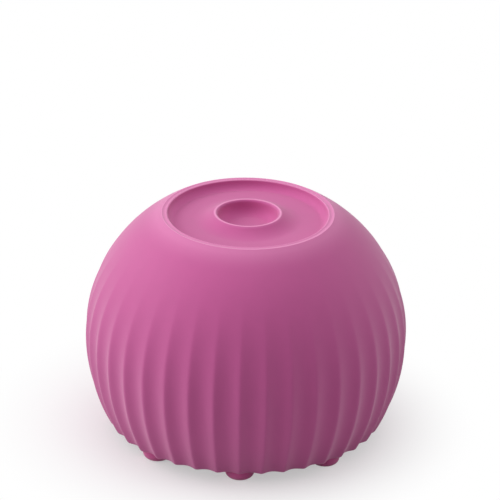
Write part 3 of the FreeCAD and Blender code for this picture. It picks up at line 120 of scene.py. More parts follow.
# %% Outlines, turned pieces and copies
def soft_outline(corners, rounds, steps):
    """The outline through corners, each cut off by an arc of its own radius.

    The arc touches both sides at a distance of radius * tan(turn / 2) from the corner, and its
    centre lies on the bisector at radius / cos(turn / 2). The first and the last corner only
    give directions and are left out.
    """
    corners = np.asarray(corners, float)
    rounds = np.asarray(rounds, float)[:, None]
    back = np.roll(corners, 1, 0) - corners
    ahead = np.roll(corners, -1, 0) - corners
    back /= np.linalg.norm(back, axis=1)[:, None]
    ahead /= np.linalg.norm(ahead, axis=1)[:, None]
    turn = np.pi - np.arccos(np.clip((back * ahead).sum(1), -1, 1))[:, None]
    start = corners + back * rounds * np.tan(turn / 2)
    middle = back + ahead
    middle /= np.maximum(np.linalg.norm(middle, axis=1), 1e-9)[:, None]
    centre = corners + middle * rounds / np.cos(turn / 2)
    finish = corners + ahead * rounds * np.tan(turn / 2)
    share = np.linspace(0, 1, steps)[None, :, None]
    from_start = (start - centre)[:, None, :]
    from_finish = (finish - centre)[:, None, :]
    sine = np.maximum(np.sin(turn), 1e-9)[:, None]
    arc = (np.sin((1 - share) * turn[:, None]) * from_start
           + np.sin(share * turn[:, None]) * from_finish) / sine
    return (centre[:, None, :] + arc).reshape(-1, 2)[steps:-steps]


def turned(name, profile, body, node, columns, axis="z", centre=(0, 0, 0), painted_highlight=None):
    """A piece turned about an axis: x = r cos(a), y = r sin(a), with r and height from profile.

    The profile runs from the axis at the bottom, outwards and up, to the axis at the top, and
    painted_highlight has a share of painted highlight for each of its points.
    """
    keep = np.r_[True, np.linalg.norm(np.diff(profile, axis=0), axis=1) > 1e-6]
    profile = profile[keep]
    if painted_highlight is not None:
        painted_highlight = np.r_[np.repeat(painted_highlight[keep][1:-1], columns), 0, 0]
    radius, height = profile[1:-1, 0][:, None], profile[1:-1, 1][:, None]
    angle = np.arange(columns)[None, :] * 2 * np.pi / columns
    table = np.stack([radius * np.cos(angle), radius * np.sin(angle),
                      height + 0 * angle], axis=-1).reshape(-1, 3)
    ends = np.array([[0, 0, profile[0, 1]], [0, 0, profile[-1, 1]]])
    points = np.vstack([table, ends])
    rows = len(radius)
    faces = grid_faces(rows, columns).tolist()
    faces += end_caps(rows, columns, rows * columns, rows * columns + 1).tolist()
    if axis == "y":
        points = points[:, [1, 2, 0]]
    return make_piece(name, points + np.array(centre, float), faces, body, node, painted_highlight=painted_highlight)


def on_circle(radius, turn, count):
    """Places spread evenly on a circle: radius * (cos(a), sin(a), 0), from a turn in degrees."""
    angle = np.radians(turn + 360 / count * np.arange(count))
    return np.stack([radius * np.cos(angle), radius * np.sin(angle), 0 * angle], axis=-1)


def copies(points, face_tables, places):
    """Copies of one shape as one mesh, each moved to its place."""
    faces = []
    for number in range(len(places)):
        for table in face_tables:
            faces += (table + len(points) * number).tolist()
    return np.vstack([points + place for place in places]), faces


# %% [markdown]
# ## The fluted sleeve
#
# The real sleeve is one moulding of silicone about 3.4 mm thick. Its outside is a flattened ball
# with 39 shallow flutes that fade out below the rim, its rim is a soft flat band, and a thin lip
# reaches in to wipe the cup. A subdivided and sculpted ball could pass for it from a distance,
# but the flutes have to end in even points along the lower edge, so the radius is written as a
# formula of angle and height.

# %% The shape of the ball
EQUATOR = 34.9
SKIRT_ARC, SKIRT_SHIFT = 63.5, -8.5
CROWN_ARC, CROWN_SHIFT = 51.5, 3.5
SLEEVE_WALL = 3.4
FLUTES, FLUTE_TURN = 39, math.radians(0.7)
FLUTE_DEPTH, RIB_SOFTNESS = 1.3, 0.20
FLUTE_TOP, FLUTE_FULL = 70.0, 24.0


def ball_radius(height, wall=0.0):
    """The radius of the ball at a height, less a wall: two arcs that meet at the widest place.

    Each is sqrt((arc - wall)^2 - gap^2) + shift, with the gap from the height of that place.
    """
    gap = height - EQUATOR
    skirt = np.sqrt(np.maximum((SKIRT_ARC - wall) ** 2 - gap ** 2, 0)) + SKIRT_SHIFT
    crown = np.sqrt(np.maximum((CROWN_ARC - wall) ** 2 - gap ** 2, 0)) + CROWN_SHIFT
    return np.where(gap < 0, skirt, crown)


def flute_cut(angle, height):
    """How deep the flutes lie below the ball.

    Across a flute, u runs from 0 at the rib to 1 in the valley, and the cut is 1 - (1 - u)^2,
    with u softened near the rib. Upwards, the cut fades as a smooth step.
    """
    across = ((angle - FLUTE_TURN) * FLUTES / (2 * np.pi)) % 1.0
    u = 1 - np.abs(2 * across - 1)
    soft = RIB_SOFTNESS
    u = (np.sqrt(u ** 2 + soft ** 2) - soft) / (math.sqrt(1 + soft ** 2) - soft)
    fade = np.clip((FLUTE_TOP - height) / (FLUTE_TOP - FLUTE_FULL), 0, 1)
    return FLUTE_DEPTH * fade ** 2 * (3 - 2 * fade) * (1 - (1 - u) ** 2)


print("widest radius", ball_radius(np.array(EQUATOR)), "mm, rib to valley", FLUTE_DEPTH, "mm")

# %% [markdown]
# The sleeve is a closed wall, so its profile is a loop: up the outside, over the rim, down the
# hollow inner wall to the lip, under it, and back down the inside. The flutes only cut the
# outside, and above 70 mm their depth is nothing. The rows stand closer near the rim, and rows
# lie where the openings in the back begin and end.

# %% The outside of the sleeve
HEM, HEM_ROUND = 3.7, 0.9
PORT_LOW, LIGHT_LOW, LIGHT_HIGH, BUTTON_LOW, BUTTON_HIGH = 17.5, 29.4, 33.0, 35.4, 46.6
quarter = np.linspace(0, np.pi / 2, 7)

hem_height = HEM + HEM_ROUND * (1 - np.cos(quarter))
hem_inset = HEM_ROUND * (1 - np.sin(quarter))
wall_height = np.r_[np.linspace(5.5, PORT_LOW, 12), np.linspace(18.5, LIGHT_LOW, 11),
                    np.linspace(30.4, LIGHT_HIGH, 4), np.linspace(34.2, BUTTON_LOW, 2),
                    np.linspace(36.4, BUTTON_HIGH, 10), np.linspace(47.8, 74.2, 23)]
crown_height = np.linspace(75.2, 78.4, 5)
outside_height = np.r_[hem_height, wall_height, crown_height]
outside_radius = ball_radius(outside_height)
outside_radius[:len(hem_inset)] -= hem_inset
print(len(outside_height), "rows up the outside")

# %% [markdown]
# The rim is a shallow band between two small round edges. Both edges catch the light, and a
# paler colour is painted on them as a painted highlight. The rows across them carry a share of
# that painted highlight, and so do the rows just below.

# %% The rim and its painted highlight
RIM = 79.4
EDGE_ROUND, OUTER_EDGE, INNER_EDGE = 0.42, 29.25, 27.70
BAND_OUTER, BAND_WIDTH, BAND_DROP, BAND_SAG = 28.95, 1.1, 0.05, 0.12
LIP_RADIUS = 24.7
HOLLOW_WIDTH, HOLLOW_DEPTH, HOLLOW_TOP = 2.58, 2.6, 78.93


def edge_arc(middle, first, last):
    """A round edge that touches the height of the rim: radius * cos(b) outwards and
    radius * sin(b) up from its middle, with b in degrees up from the outward direction.
    """
    bend = np.linspace(np.radians(first), np.radians(last), 7)
    return np.stack([middle + EDGE_ROUND * np.cos(bend),
                     RIM - EDGE_ROUND * (1 - np.sin(bend))], axis=1)


outer_edge = edge_arc(OUTER_EDGE, 58, 112)
inner_edge = edge_arc(INNER_EDGE, 72, 172)
sag = np.linspace(0.2, 0.8, 4)
band = np.stack([BAND_OUTER - BAND_WIDTH * sag,
                 RIM - BAND_DROP - BAND_SAG * np.sin(np.pi * sag)], axis=1)
fall = np.linspace(0.1, np.pi / 2, 15)
hollow = np.stack([LIP_RADIUS + HOLLOW_WIDTH * np.cos(fall),
                   HOLLOW_TOP - HOLLOW_DEPTH * np.sin(fall)], axis=1)
under_lip = np.array([[LIP_RADIUS + 0.03, 76.315], [29.6, 76.37], [29.7, 76.2]])
rim = np.vstack([outer_edge, band, inner_edge, hollow, under_lip])

# across an edge the painted highlight grows to its crest and fades again, and the band keeps
# half of it
highlight_across_edge = np.array([0, 0.4, 1, 1, 1, 0.4, 0])
rim_painted_highlight = np.r_[np.maximum(0.95 * highlight_across_edge, [0.4, 0.4, 0, 0, 0, 0.55, 0.5]),
                 np.full(len(band), 0.5),
                 np.maximum(0.6 * highlight_across_edge, [0.5, 0.5, 0, 0, 0, 0, 0]),
                 np.zeros(len(hollow) + len(under_lip))]
# the painted highlight also grows up the crown towards the rim
crown_painted_highlight = 0.55 * np.clip((outside_height - 74) / (RIM - 74), 0, 1) ** 2
print(len(rim), "rows over the rim and under the lip")

# %% The whole profile of the sleeve
LEDGE_TOP, LEDGE_FOOT, LEDGE_RADIUS, COVER_RADIUS = 7.7, 6.1, 43.0, 44.4
inside_height = wall_height[wall_height > 8.5][::-1]
ledge = np.array([[ball_radius(np.array(LEDGE_TOP), SLEEVE_WALL), LEDGE_TOP],
                  [LEDGE_RADIUS, LEDGE_TOP], [LEDGE_RADIUS, LEDGE_FOOT],
                  [COVER_RADIUS, LEDGE_FOOT], [COVER_RADIUS, HEM]])
inside_radius = ball_radius(inside_height, SLEEVE_WALL)
profile_radius = np.r_[outside_radius, rim[:, 0], inside_radius, ledge[:, 0]]
profile_height = np.r_[outside_height, rim[:, 1], inside_height, ledge[:, 1]]
# the painted highlight of the crown and rim rows, and none inside
profile_painted_highlight = np.r_[crown_painted_highlight, rim_painted_highlight, np.zeros(len(inside_height) + len(ledge))]
fluted = np.arange(len(profile_radius)) < len(outside_height)
print(len(profile_radius), "rows in the profile of the sleeve")

# %% The table of the sleeve
# twelve columns a flute, closer together beside the rib, where the surface turns fastest
RIB_STEPS = np.array([0, .035, .08, .14, .23, .36, .5, .64, .77, .86, .92, .965])
sleeve_angle = FLUTE_TURN + 2 * np.pi / FLUTES * (np.arange(FLUTES)[:, None] + RIB_STEPS).ravel()
columns = len(sleeve_angle)
rows = len(profile_radius)
cut = flute_cut(sleeve_angle[None, :], profile_height[:, None]) * fluted[:, None]
radius = profile_radius[:, None] - cut
sleeve_points = np.stack([radius * np.cos(sleeve_angle), radius * np.sin(sleeve_angle),
                          np.broadcast_to(profile_height[:, None], radius.shape)], axis=-1)
sleeve_faces = grid_faces(rows, columns, closed_rows=True)
print(rows, "rows of", columns, "points")

# %% [markdown]
# Three openings go through the rear wall: an oval one for the charging port, a pinhole for the
# light and a round one for the button. A Boolean would cut them too, but it leaves slivers that
# catch the light beside each rounded edge. So a patch of the table is taken out of the outer and
# the inner wall, and rings of points lead from the edge of the patch to the opening, over its
# rounded edge, through the wall and out to the edge of the patch inside.

# %% Places on the rear wall
def rear_wall(across, height, inside=False):
    """How far back the wall stands at x and a height: y = sqrt(r^2 - x^2).

    The radius r depends on the angle, which depends on y, so the two are solved in turns.
    """
    back = np.full_like(across, 50.0)
    for _ in range(8):
        cut = 0 if inside else flute_cut(np.arctan2(back, across), height)
        radius = ball_radius(height, SLEEVE_WALL if inside else 0.0) - cut
        back = np.sqrt(radius ** 2 - across ** 2)
    return back


def slot_edge(across, up, width, height):
    """The point of a round-ended slot in the direction (across, up) from its middle.

    On the straight sides the distance is half the height over the sine; on the round ends,
    with half of the straight side a, it is a |cos| + sqrt(b^2 - a^2 sin^2).
    """
    length = np.hypot(across, up)
    cosine, sine = across / length, up / length
    b = height / 2
    a = width / 2 - b
    round_end = a * np.abs(cosine) + np.sqrt(np.maximum(b ** 2 - (a * sine) ** 2, 0))
    straight = b / np.maximum(np.abs(sine), 1e-9)
    distance = np.where(straight * np.abs(cosine) <= a, straight, round_end)
    return cosine * distance, sine * distance


PORT_WIDTH, PORT_HEIGHT = 16.15, 9.55
across_port, up_port = slot_edge(np.array([1.0, 0.0]), np.array([0.0, 1.0]),
                                 PORT_WIDTH, PORT_HEIGHT)
print("the port's opening reaches", across_port[0], "mm across and", up_port[1], "mm up")

# %% Openings in the rear wall
OPENING_MARGIN = 0.9
PORT_UP, LIGHT_UP, BUTTON_UP = 24.0, 31.2, 41.0


def open_window(points, faces, low, high, half_angle, middle, width, height):
    """Take a patch out of both walls of the table and lead rings of points through it.

    The patch lies between two rows, low and high, and within half an angle of the back.
    """
    in_band = (profile_height >= low - 0.01) & (profile_height <= high + 0.01)
    outer = np.flatnonzero(fluted & in_band)
    inner = np.flatnonzero(~fluted & in_band)[::-1]
    beside = np.flatnonzero(np.abs(sleeve_angle - np.pi / 2) <= half_angle)
    ends = beside[0], beside[-1]
    row, column = faces[:, 0] // columns, faces[:, 0] % columns
    in_columns = (column >= ends[0]) & (column < ends[1])
    in_rows = ((row >= outer[0]) & (row < outer[-1])) | ((row >= inner[-1]) & (row < inner[0]))
    in_table = faces.max(axis=1) < rows * columns
    faces = faces[~(in_columns & in_rows & in_table)]

    def border(levels):
        return np.r_[levels[0] * columns + beside[:-1], levels[:-1] * columns + ends[1],
                     levels[-1] * columns + beside[:0:-1], levels[:0:-1] * columns + ends[0]]

    flat = points.reshape(-1, 3)
    first, last = border(outer), border(inner)
    x, z = flat[first, 0], flat[first, 2] - middle
    inner_x = flat[last, 0]
    rings = []
    wide = slot_edge(x, z, width + OPENING_MARGIN, height + OPENING_MARGIN)
    exact = slot_edge(x, z, width, height)
    for t in (0.3, 0.6, 0.85, 1.0):
        rings.append((x + (wide[0] - x) * t, z + (wide[1] - z) * t, 0.0, False))
    for grow, sink in ((0.44, 0.06), (0.14, 0.2), (0.0, 0.45)):
        rings.append((*slot_edge(x, z, width + grow, height + grow), sink, False))
    rings.append((*exact, 0.0, True))
    for t in (0.4, 0.75):
        rings.append((exact[0] + (inner_x - exact[0]) * t, exact[1] + (z - exact[1]) * t,
                      0.0, True))
    made = [np.stack([a, rear_wall(a, up + middle, inside) - sink, up + middle], axis=-1)
            for a, up, sink, inside in rings]
    count = len(first)
    starts = len(flat) + count * np.arange(len(made))
    chain = [first, *[start + np.arange(count) for start in starts], last]
    quads = [np.stack([near, np.roll(near, -1), np.roll(far, -1), far], axis=-1)
             for near, far in zip(chain, chain[1:])]
    return np.vstack([flat, *made]), np.vstack([faces, *quads])


openings = [(PORT_LOW, LIGHT_LOW, 0.21, PORT_UP, PORT_WIDTH, PORT_HEIGHT),
            (LIGHT_LOW, LIGHT_HIGH, 0.06, LIGHT_UP, 2.3, 2.3),
            (BUTTON_LOW, BUTTON_HIGH, 0.12, BUTTON_UP, 8.4, 8.4)]
points, faces = sleeve_points.reshape(-1, 3), sleeve_faces
for opening in openings:
    points, faces = open_window(points, faces, *opening)
# the painted highlight of each row, for every column
sleeve_painted_highlight = np.zeros(len(points))
sleeve_painted_highlight[:rows * columns] = np.repeat(profile_painted_highlight, columns)
sleeve = make_piece("sleeve", points, faces, "housing", "silicone_sleeve", painted_highlight=sleeve_painted_highlight)

# %% [markdown]
# ## The cup
#
# The cup is a thick disc of the same silicone. In its middle a soft ring rises about a dimple,
# which centres what is pressed on it. The disc is round about its own axis, which stands 1.2 mm
# behind the middle of the ball, so a turned profile with rounded corners is the plainest way to
# it. The crest of the ring carries a painted highlight, a paler colour, as the rim does.

# %% The cup with its ring and dimple
THROW = 1.2
CUP_FOOT, CUP_LEDGE, PLATE = 72, 73.7, 76.3
CUP_STEM, CUP_RADIUS = 12.3, 27.3
FLANK_START, FLANK_WIDTH, FLANK_RISE = 18.5, 6.5, 2.42
CREST_RADIUS, CREST_ROUND, CREST_HEIGHT = 11.2, 0.9, 78.1
DIMPLE_RADIUS, DIMPLE_ROUND, DIMPLE_TOP, DIMPLE_FLOOR = 6.8, 3.5, 77.3, 74.0

cup_edge = soft_outline([(0, CUP_FOOT), (CUP_STEM, CUP_FOOT), (CUP_STEM, CUP_LEDGE),
                         (CUP_RADIUS, CUP_LEDGE), (CUP_RADIUS, PLATE), (20, PLATE)],
                        [0, 0.3, 0.3, 0.3, 0.4, 0], steps=4)
plate = np.stack([np.linspace(25.5, 19.5, 6), np.full(6, PLATE)], axis=1)
# inwards, the flank rises as a power of the way to the ring, so that it starts out flat
share = np.linspace(0, 1, 20)[:, None]
flank = np.hstack([FLANK_START - FLANK_WIDTH * share, PLATE + FLANK_RISE * share ** 2.2])
bend = np.linspace(np.radians(50), np.radians(180), 14)
crest = np.stack([CREST_RADIUS + CREST_ROUND * np.cos(bend),
                  CREST_HEIGHT + CREST_ROUND * np.sin(bend)], axis=1)
sink = np.linspace(0, np.pi / 2, 12)
dimple = np.stack([DIMPLE_RADIUS + DIMPLE_ROUND * np.cos(sink),
                   DIMPLE_TOP - (DIMPLE_TOP - DIMPLE_FLOOR) * np.sin(sink)], axis=1)
dimple_floor = np.stack([np.linspace(5.4, 0, 5), np.full(5, DIMPLE_FLOOR)], axis=1)

cup_profile = np.vstack([[[0, CUP_FOOT]], cup_edge, plate, flank, crest, dimple, dimple_floor])
# the painted highlight lies across the top of the crest
cup_painted_highlight = np.zeros(len(cup_profile))
crest_row = 1 + len(cup_edge) + len(plate) + len(flank)
cup_painted_highlight[crest_row + 1:crest_row + 8] = 0.2, 0.6, 1, 1, 1, 0.6, 0.2
cup = turned("cup", cup_profile, "cup", "cup_pad", columns=180, centre=(0, THROW, 0),
             painted_highlight=cup_painted_highlight)

# %% [markdown]
# ## The feet
#
# Eight stubs of silicone stand on a ring near the edge of the underside, and reach up to the
# height of the sleeve's hem. Three of them show below the flutes in front. Their ends are well
# rounded, and each end is hollowed a little, so that it grips like a small suction cup.

# %% Eight stub feet
FEET, FOOT_CIRCLE, FOOT_TURN, FOOT_RADIUS = 8, 40.3, -1.7, 5.0
foot_profile = np.vstack([
    [[0, 0.35], [2.0, 0.25]],
    soft_outline([(0, 0), (2.6, 0), (FOOT_RADIUS, 0), (FOOT_RADIUS, HEM), (0, HEM)],
                 [0, 0, 2.2, 0.25, 0], steps=9),
    [[0, HEM]]])
feet = []
for number, place in enumerate(on_circle(FOOT_CIRCLE, FOOT_TURN, FEET), start=1):
    foot = turned(f"stub_foot_{number}", foot_profile, "housing", f"foot_{number}",
                  columns=64, centre=place)
    feet.append(foot)

# %% [markdown]
# ## The screws in the underside
#
# Four screws hold the base cover. Their heads lie in counterbores between the feet, with a
# cross recess. The head is a turned profile whose flat face is pushed in by a formula for the
# cross, which is enough for a thing as small as this.

# %% Four screws with a cross recess
SCREW_FACE, SCREW_END, CROSS_DEPTH = 3.9, 12.2, 0.9
HEAD_RADIUS, HEAD_TOP, SHANK_RADIUS = 2.7, 5.3, 1.15
SCREW_CIRCLE, SCREW_TURN, SCREWS = 38, 67.5, 4
SCREW_COLUMNS = 64


def cross_recess(across, up):
    """How deep the cross lies: its arms have sloping walls and end in a slope too.

    With n the lesser and w the greater of |x| and |y|, the depth is the full depth times
    (0.5 - n) / 0.22 times (1.6 - w) / 0.35, each kept between 0 and 1.
    """
    narrow = np.minimum(np.abs(across), np.abs(up))
    wide = np.maximum(np.abs(across), np.abs(up))
    arms = np.clip((0.5 - narrow) / 0.22, 0, 1)
    return CROSS_DEPTH * arms * np.clip((1.6 - wide) / 0.35, 0, 1)


face_radius = np.linspace(0.1, 2.2, 22)[:, None]
head_edge = np.array([[2.5, 3.93], [2.66, 4.02], [HEAD_RADIUS, 4.2], [HEAD_RADIUS, HEAD_TOP],
                      [SHANK_RADIUS, HEAD_TOP], [SHANK_RADIUS, 11.9], [0.4, SCREW_END]])
screw_rows = np.vstack([np.hstack([face_radius, np.full_like(face_radius, SCREW_FACE)]),
                        head_edge])
screw_turn = np.arange(SCREW_COLUMNS)[None, :] * 2 * np.pi / SCREW_COLUMNS
screw_x = screw_rows[:, :1] * np.cos(screw_turn)
screw_y = screw_rows[:, :1] * np.sin(screw_turn)
on_face = np.arange(len(screw_rows))[:, None] < len(face_radius)
screw_z = screw_rows[:, 1:] + cross_recess(screw_x, screw_y) * on_face
screw = np.stack([screw_x, screw_y, screw_z], axis=-1).reshape(-1, 3)
screw = np.vstack([screw, [[0, 0, SCREW_FACE + CROSS_DEPTH], [0, 0, SCREW_END]]])
screw_faces = [grid_faces(len(screw_rows), SCREW_COLUMNS),
               end_caps(len(screw_rows), SCREW_COLUMNS, len(screw) - 2, len(screw) - 1)]
points, faces = copies(screw, screw_faces, on_circle(SCREW_CIRCLE, SCREW_TURN, SCREWS))
cover_screws = make_piece("cover_screws", points, faces, "housing", "base_screws",
                          smooth_angle=30)

# %% [markdown]
# ## The springs under the carriage
#
# Inside the machine, three coils of wire carry the motor and let the cup sink. They are hidden,
# and they shorten as the cup is pressed. Here they are made again as a tube along a helix, all
# three in one mesh of their own.

# %% Three coil springs
SPRING_FOOT, SPRING_LENGTH, SPRING_TURNS = 42.6, 7.0, 4
COIL_RADIUS, WIRE_RADIUS = 2.6, 0.35
POST_CIRCLE, POST_TURN, SPRINGS = 21, 30, 3


def coil(steps=96, sides=10):
    """A wire carried along a helix, as points and the faces of its side and its two ends.

    The helix is (R cos(t), R sin(t), climb * t). Round it, the wire is
    w (outward * cos(s) + across * sin(s)), with outward = (cos(t), sin(t), 0) and across at
    right angles to it and to the helix.
    """
    t = np.linspace(0, 2 * np.pi * SPRING_TURNS, steps + 1)
    s = np.arange(sides) * 2 * np.pi / sides
    climb = (SPRING_LENGTH - 2 * WIRE_RADIUS) / t[-1]
    outward = np.stack([np.cos(t), np.sin(t), 0 * t], axis=-1)
    line = COIL_RADIUS * outward
    line[:, 2] = SPRING_FOOT + WIRE_RADIUS + climb * t
    along = np.stack([-COIL_RADIUS * np.sin(t), COIL_RADIUS * np.cos(t), climb + 0 * t], axis=-1)
    across = np.cross(outward, along / math.hypot(COIL_RADIUS, climb))
    tube = line[:, None] + WIRE_RADIUS * (outward[:, None] * np.cos(s)[None, :, None]
                                          + across[:, None] * np.sin(s)[None, :, None])
    points = np.vstack([tube.reshape(-1, 3), line[:1], line[-1:]])
    quads = grid_faces(steps + 1, sides)[:, ::-1]
    caps = end_caps(steps + 1, sides, len(points) - 2, len(points) - 1)[:, ::-1]
    return points, [quads, caps]


spring, spring_faces = coil()
points, faces = copies(spring, spring_faces, on_circle(POST_CIRCLE, POST_TURN, SPRINGS))
coil_springs = make_piece("coil_springs", points, faces, "housing", "carriage_springs")
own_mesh(coil_springs)

# %% [markdown]
# ## The trim in the back
#
# The back isn't seen in the photograph, so its trim is plain: an oval frame about the charging
# port, a pinhead light and a round button. The frame is a profile carried around a slot shape.
# Each row of its table has a width, a height and how far back it lies.

# %% The frame of the charging port
half_turn = np.linspace(-np.pi / 2, np.pi / 2, 25)
slot_turn = np.r_[half_turn, half_turn + np.pi]
slot_side = np.repeat([1.0, -1.0], len(half_turn))


def slot_loop(width, height, back):
    """A round-ended slot about the middle of the port.

    x = side * (width - height) / 2 + height / 2 * cos, and z = middle + height / 2 * sin.
    """
    x = slot_side * (width - height) / 2 + height / 2 * np.cos(slot_turn)
    z = PORT_UP + height / 2 * np.sin(slot_turn)
    return np.stack([x, np.full_like(x, back), z], axis=-1)


frame_rows = np.array([
    [9.1, 3.42, 51.4], [15.85, 9.25, 51.4], [15.85, 9.25, 54.0], [15.78, 9.18, 54.3],
    [15.6, 9.0, 54.5], [15.3, 8.7, 54.6], [13.2, 7.4, 54.6], [12.9, 7.1, 54.54],
    [12.7, 6.9, 54.4], [12.6, 6.8, 54.1], [12.6, 6.8, 52.4], [9.5, 3.8, 52.4],
    [9.2, 3.5, 52.3], [9.1, 3.42, 52.1]])
frame_table = np.stack([slot_loop(*row) for row in frame_rows])
frame_quads = grid_faces(len(frame_rows), len(slot_turn), closed_rows=True)[:, ::-1]
port_frame = make_piece("port_frame", frame_table.reshape(-1, 3), frame_quads, "housing",
                        "port_bezel")

# %% The button and the light
# both lie along the y axis: the profiles give a radius and how far back it lies, and the
# button's face is hollowed a little
BUTTON_RADIUS, BUTTON_START, BUTTON_FACE = 4.0, 46.45, 55.3
FLANGE_RADIUS, FLANGE_START, FLANGE_END = 5.2, 46.7, 47.6
LENS_RADIUS, LENS_START, LENS_FACE = 1.1, 44.4, 54.7

button_profile = np.vstack([
    [[0, BUTTON_START]],
    soft_outline([(0, BUTTON_START), (2.2, BUTTON_START), (2.2, FLANGE_START),
                  (FLANGE_RADIUS, FLANGE_START), (FLANGE_RADIUS, FLANGE_END),
                  (BUTTON_RADIUS, FLANGE_END), (BUTTON_RADIUS, BUTTON_FACE), (0, BUTTON_FACE)],
                 [0, 0.1, 0.05, 0.15, 0.15, 0.05, 0.7, 0], steps=7),
    [[2.9, 55.24], [2.4, 55.12], [1.6, 55.02], [0.8, 54.98], [0, 54.97]]])
button = turned("back_button", button_profile, "power_button", "power_button", columns=96,
                axis="y", centre=(0, 0, BUTTON_UP))
lens_profile = np.vstack([
    [[0, LENS_START]],
    soft_outline([(0, LENS_START), (LENS_RADIUS, LENS_START), (LENS_RADIUS, LENS_FACE),
                  (0, LENS_FACE)], [0, 0.1, 0.35, 0], steps=6),
    [[0, LENS_FACE]]])
lens = turned("light_lens", lens_profile, "housing", "light_pipe", columns=48, axis="y",
              centre=(0, 0, LIGHT_UP))

# %% [markdown]
# ## Finishes
#
# A finish is a small network of nodes on a Principled shader. Noise on Object coordinates
# varies the colour and the roughness a little and feeds a bump, and its scale sets the grain:
# a scale of 1000 repeats about every millimetre. What is the same all over a surface, such as
# the sheen, is set on the shader itself.

# %% A network for every finish
CLOUD_SIZE, ROUGH_SPREAD = 12, 0.08


def finish(name, colour, roughness, grain, height, vary=0.04, stretch=(1, 1, 1), metallic=0.0):
    """A finish with a fine grain: colour and roughness vary with one noise, bump with another.

    The bump's height is in millimetres. The clouds of colour are CLOUD_SIZE times as large as
    the grain, and a stretch draws the grain out along an axis.
    """
    material = bpy.data.materials.new(name)
    material.use_nodes = True
    nodes, links = material.node_tree.nodes, material.node_tree.links
    shader = nodes["Principled BSDF"]
    shader.inputs["Metallic"].default_value = metallic
    place = nodes.new("ShaderNodeTexCoord")
    mapping = nodes.new("ShaderNodeMapping")
    mapping.inputs["Scale"].default_value = stretch
    links.new(place.outputs["Object"], mapping.inputs["Vector"])

    cloud = nodes.new("ShaderNodeTexNoise")
    cloud.inputs["Scale"].default_value = grain / CLOUD_SIZE
    cloud.inputs["Detail"].default_value = 3
    links.new(mapping.outputs["Vector"], cloud.inputs["Vector"])
    tint = nodes.new("ShaderNodeMix")
    tint.data_type = "RGBA"
    tint.inputs["A"].default_value = (*[channel * (1 - vary) for channel in colour], 1)
    tint.inputs["B"].default_value = (*[min(1, channel * (1 + vary)) for channel in colour], 1)
    links.new(cloud.outputs["Fac"], tint.inputs["Factor"])
    links.new(tint.outputs["Result"], shader.inputs["Base Color"])

    rough = nodes.new("ShaderNodeMapRange")
    rough.inputs["To Min"].default_value = roughness * (1 - ROUGH_SPREAD)
    rough.inputs["To Max"].default_value = min(1.0, roughness * (1 + ROUGH_SPREAD))
    links.new(cloud.outputs["Fac"], rough.inputs["Value"])
    links.new(rough.outputs["Result"], shader.inputs["Roughness"])

    fine = nodes.new("ShaderNodeTexNoise")
    fine.inputs["Scale"].default_value = grain
    fine.inputs["Detail"].default_value = 2
    links.new(mapping.outputs["Vector"], fine.inputs["Vector"])
    bump = nodes.new("ShaderNodeBump")
    bump.inputs["Strength"].default_value = 1.0
    bump.inputs["Distance"].default_value = height * MM
    links.new(fine.outputs["Fac"], bump.inputs["Height"])
    links.new(bump.outputs["Normal"], shader.inputs["Normal"])
    print(f"{name}: roughness {roughness}, {grain} grains a metre")
    return material, shader


def dress(piece, material):
    """Give a piece one finish."""
    piece.data.materials.clear()
    piece.data.materials.append(material)


# %% [markdown]
# The silicone is matte and soft. Grazing light brightens it at the outline, which a little sheen
# gives. The edges of the rim and of the ring catch the light, and a paler colour is painted on
# them as a painted highlight, by the share of painted highlight that those rows carry.

# %% Silicone of the sleeve, the cup and the feet
def silicone(name, colour):
    """Matte silicone: low gloss, a faint sheen and a fine skin from a spark-worn mould."""
    material, shader = finish(name, colour, 0.50, 2600, 0.004, vary=0.03)
    shader.inputs["IOR"].default_value = 1.41
    shader.inputs["Specular IOR Level"].default_value = 0.15
    shader.inputs["Sheen Weight"].default_value = 0.31
    shader.inputs["Sheen Roughness"].default_value = 0.85
    return material


def paint_highlight_on_edges(material, colour):
    """Mix a paler colour into the base colour by the share of painted highlight that the mesh
    carries.
    """
    nodes, links = material.node_tree.nodes, material.node_tree.links
    painted_highlight_share = nodes.new("ShaderNodeAttribute")
    painted_highlight_share.attribute_name = "painted_highlight"
    paler = nodes.new("ShaderNodeMix")
    paler.data_type = "RGBA"
    base_colour = nodes["Principled BSDF"].inputs["Base Color"]
    links.new(painted_highlight_share.outputs["Fac"], paler.inputs["Factor"])
    links.new(base_colour.links[0].from_socket, paler.inputs["A"])
    paler.inputs["B"].default_value = (*colour, 1)
    links.new(paler.outputs["Result"], base_colour)


orchid_silicone = silicone("orchid_silicone", (0.61, 0.060, 0.310))
# a paler colour painted on the edges of the rim and the ring as a painted highlight
paint_highlight_on_edges(orchid_silicone, (0.92, 0.27, 0.58))
# painted light: the feet's copy of the silicone is lighter, to make up for the shade under the ball
foot_silicone = silicone("foot_silicone", (0.66, 0.060, 0.30))
for piece in (sleeve, cup):
    dress(piece, orchid_silicone)
for foot in feet:
    dress(foot, foot_silicone)
print(orchid_silicone.name, "on the sleeve and the cup,", foot_silicone.name, "on the feet")

# %% [markdown]
# The rest is mostly hidden: moulded plastics, plated and turned metals, and the coloured skins
# of the electric pieces. Turned and drawn metal shows fine lines, so its grain is stretched.

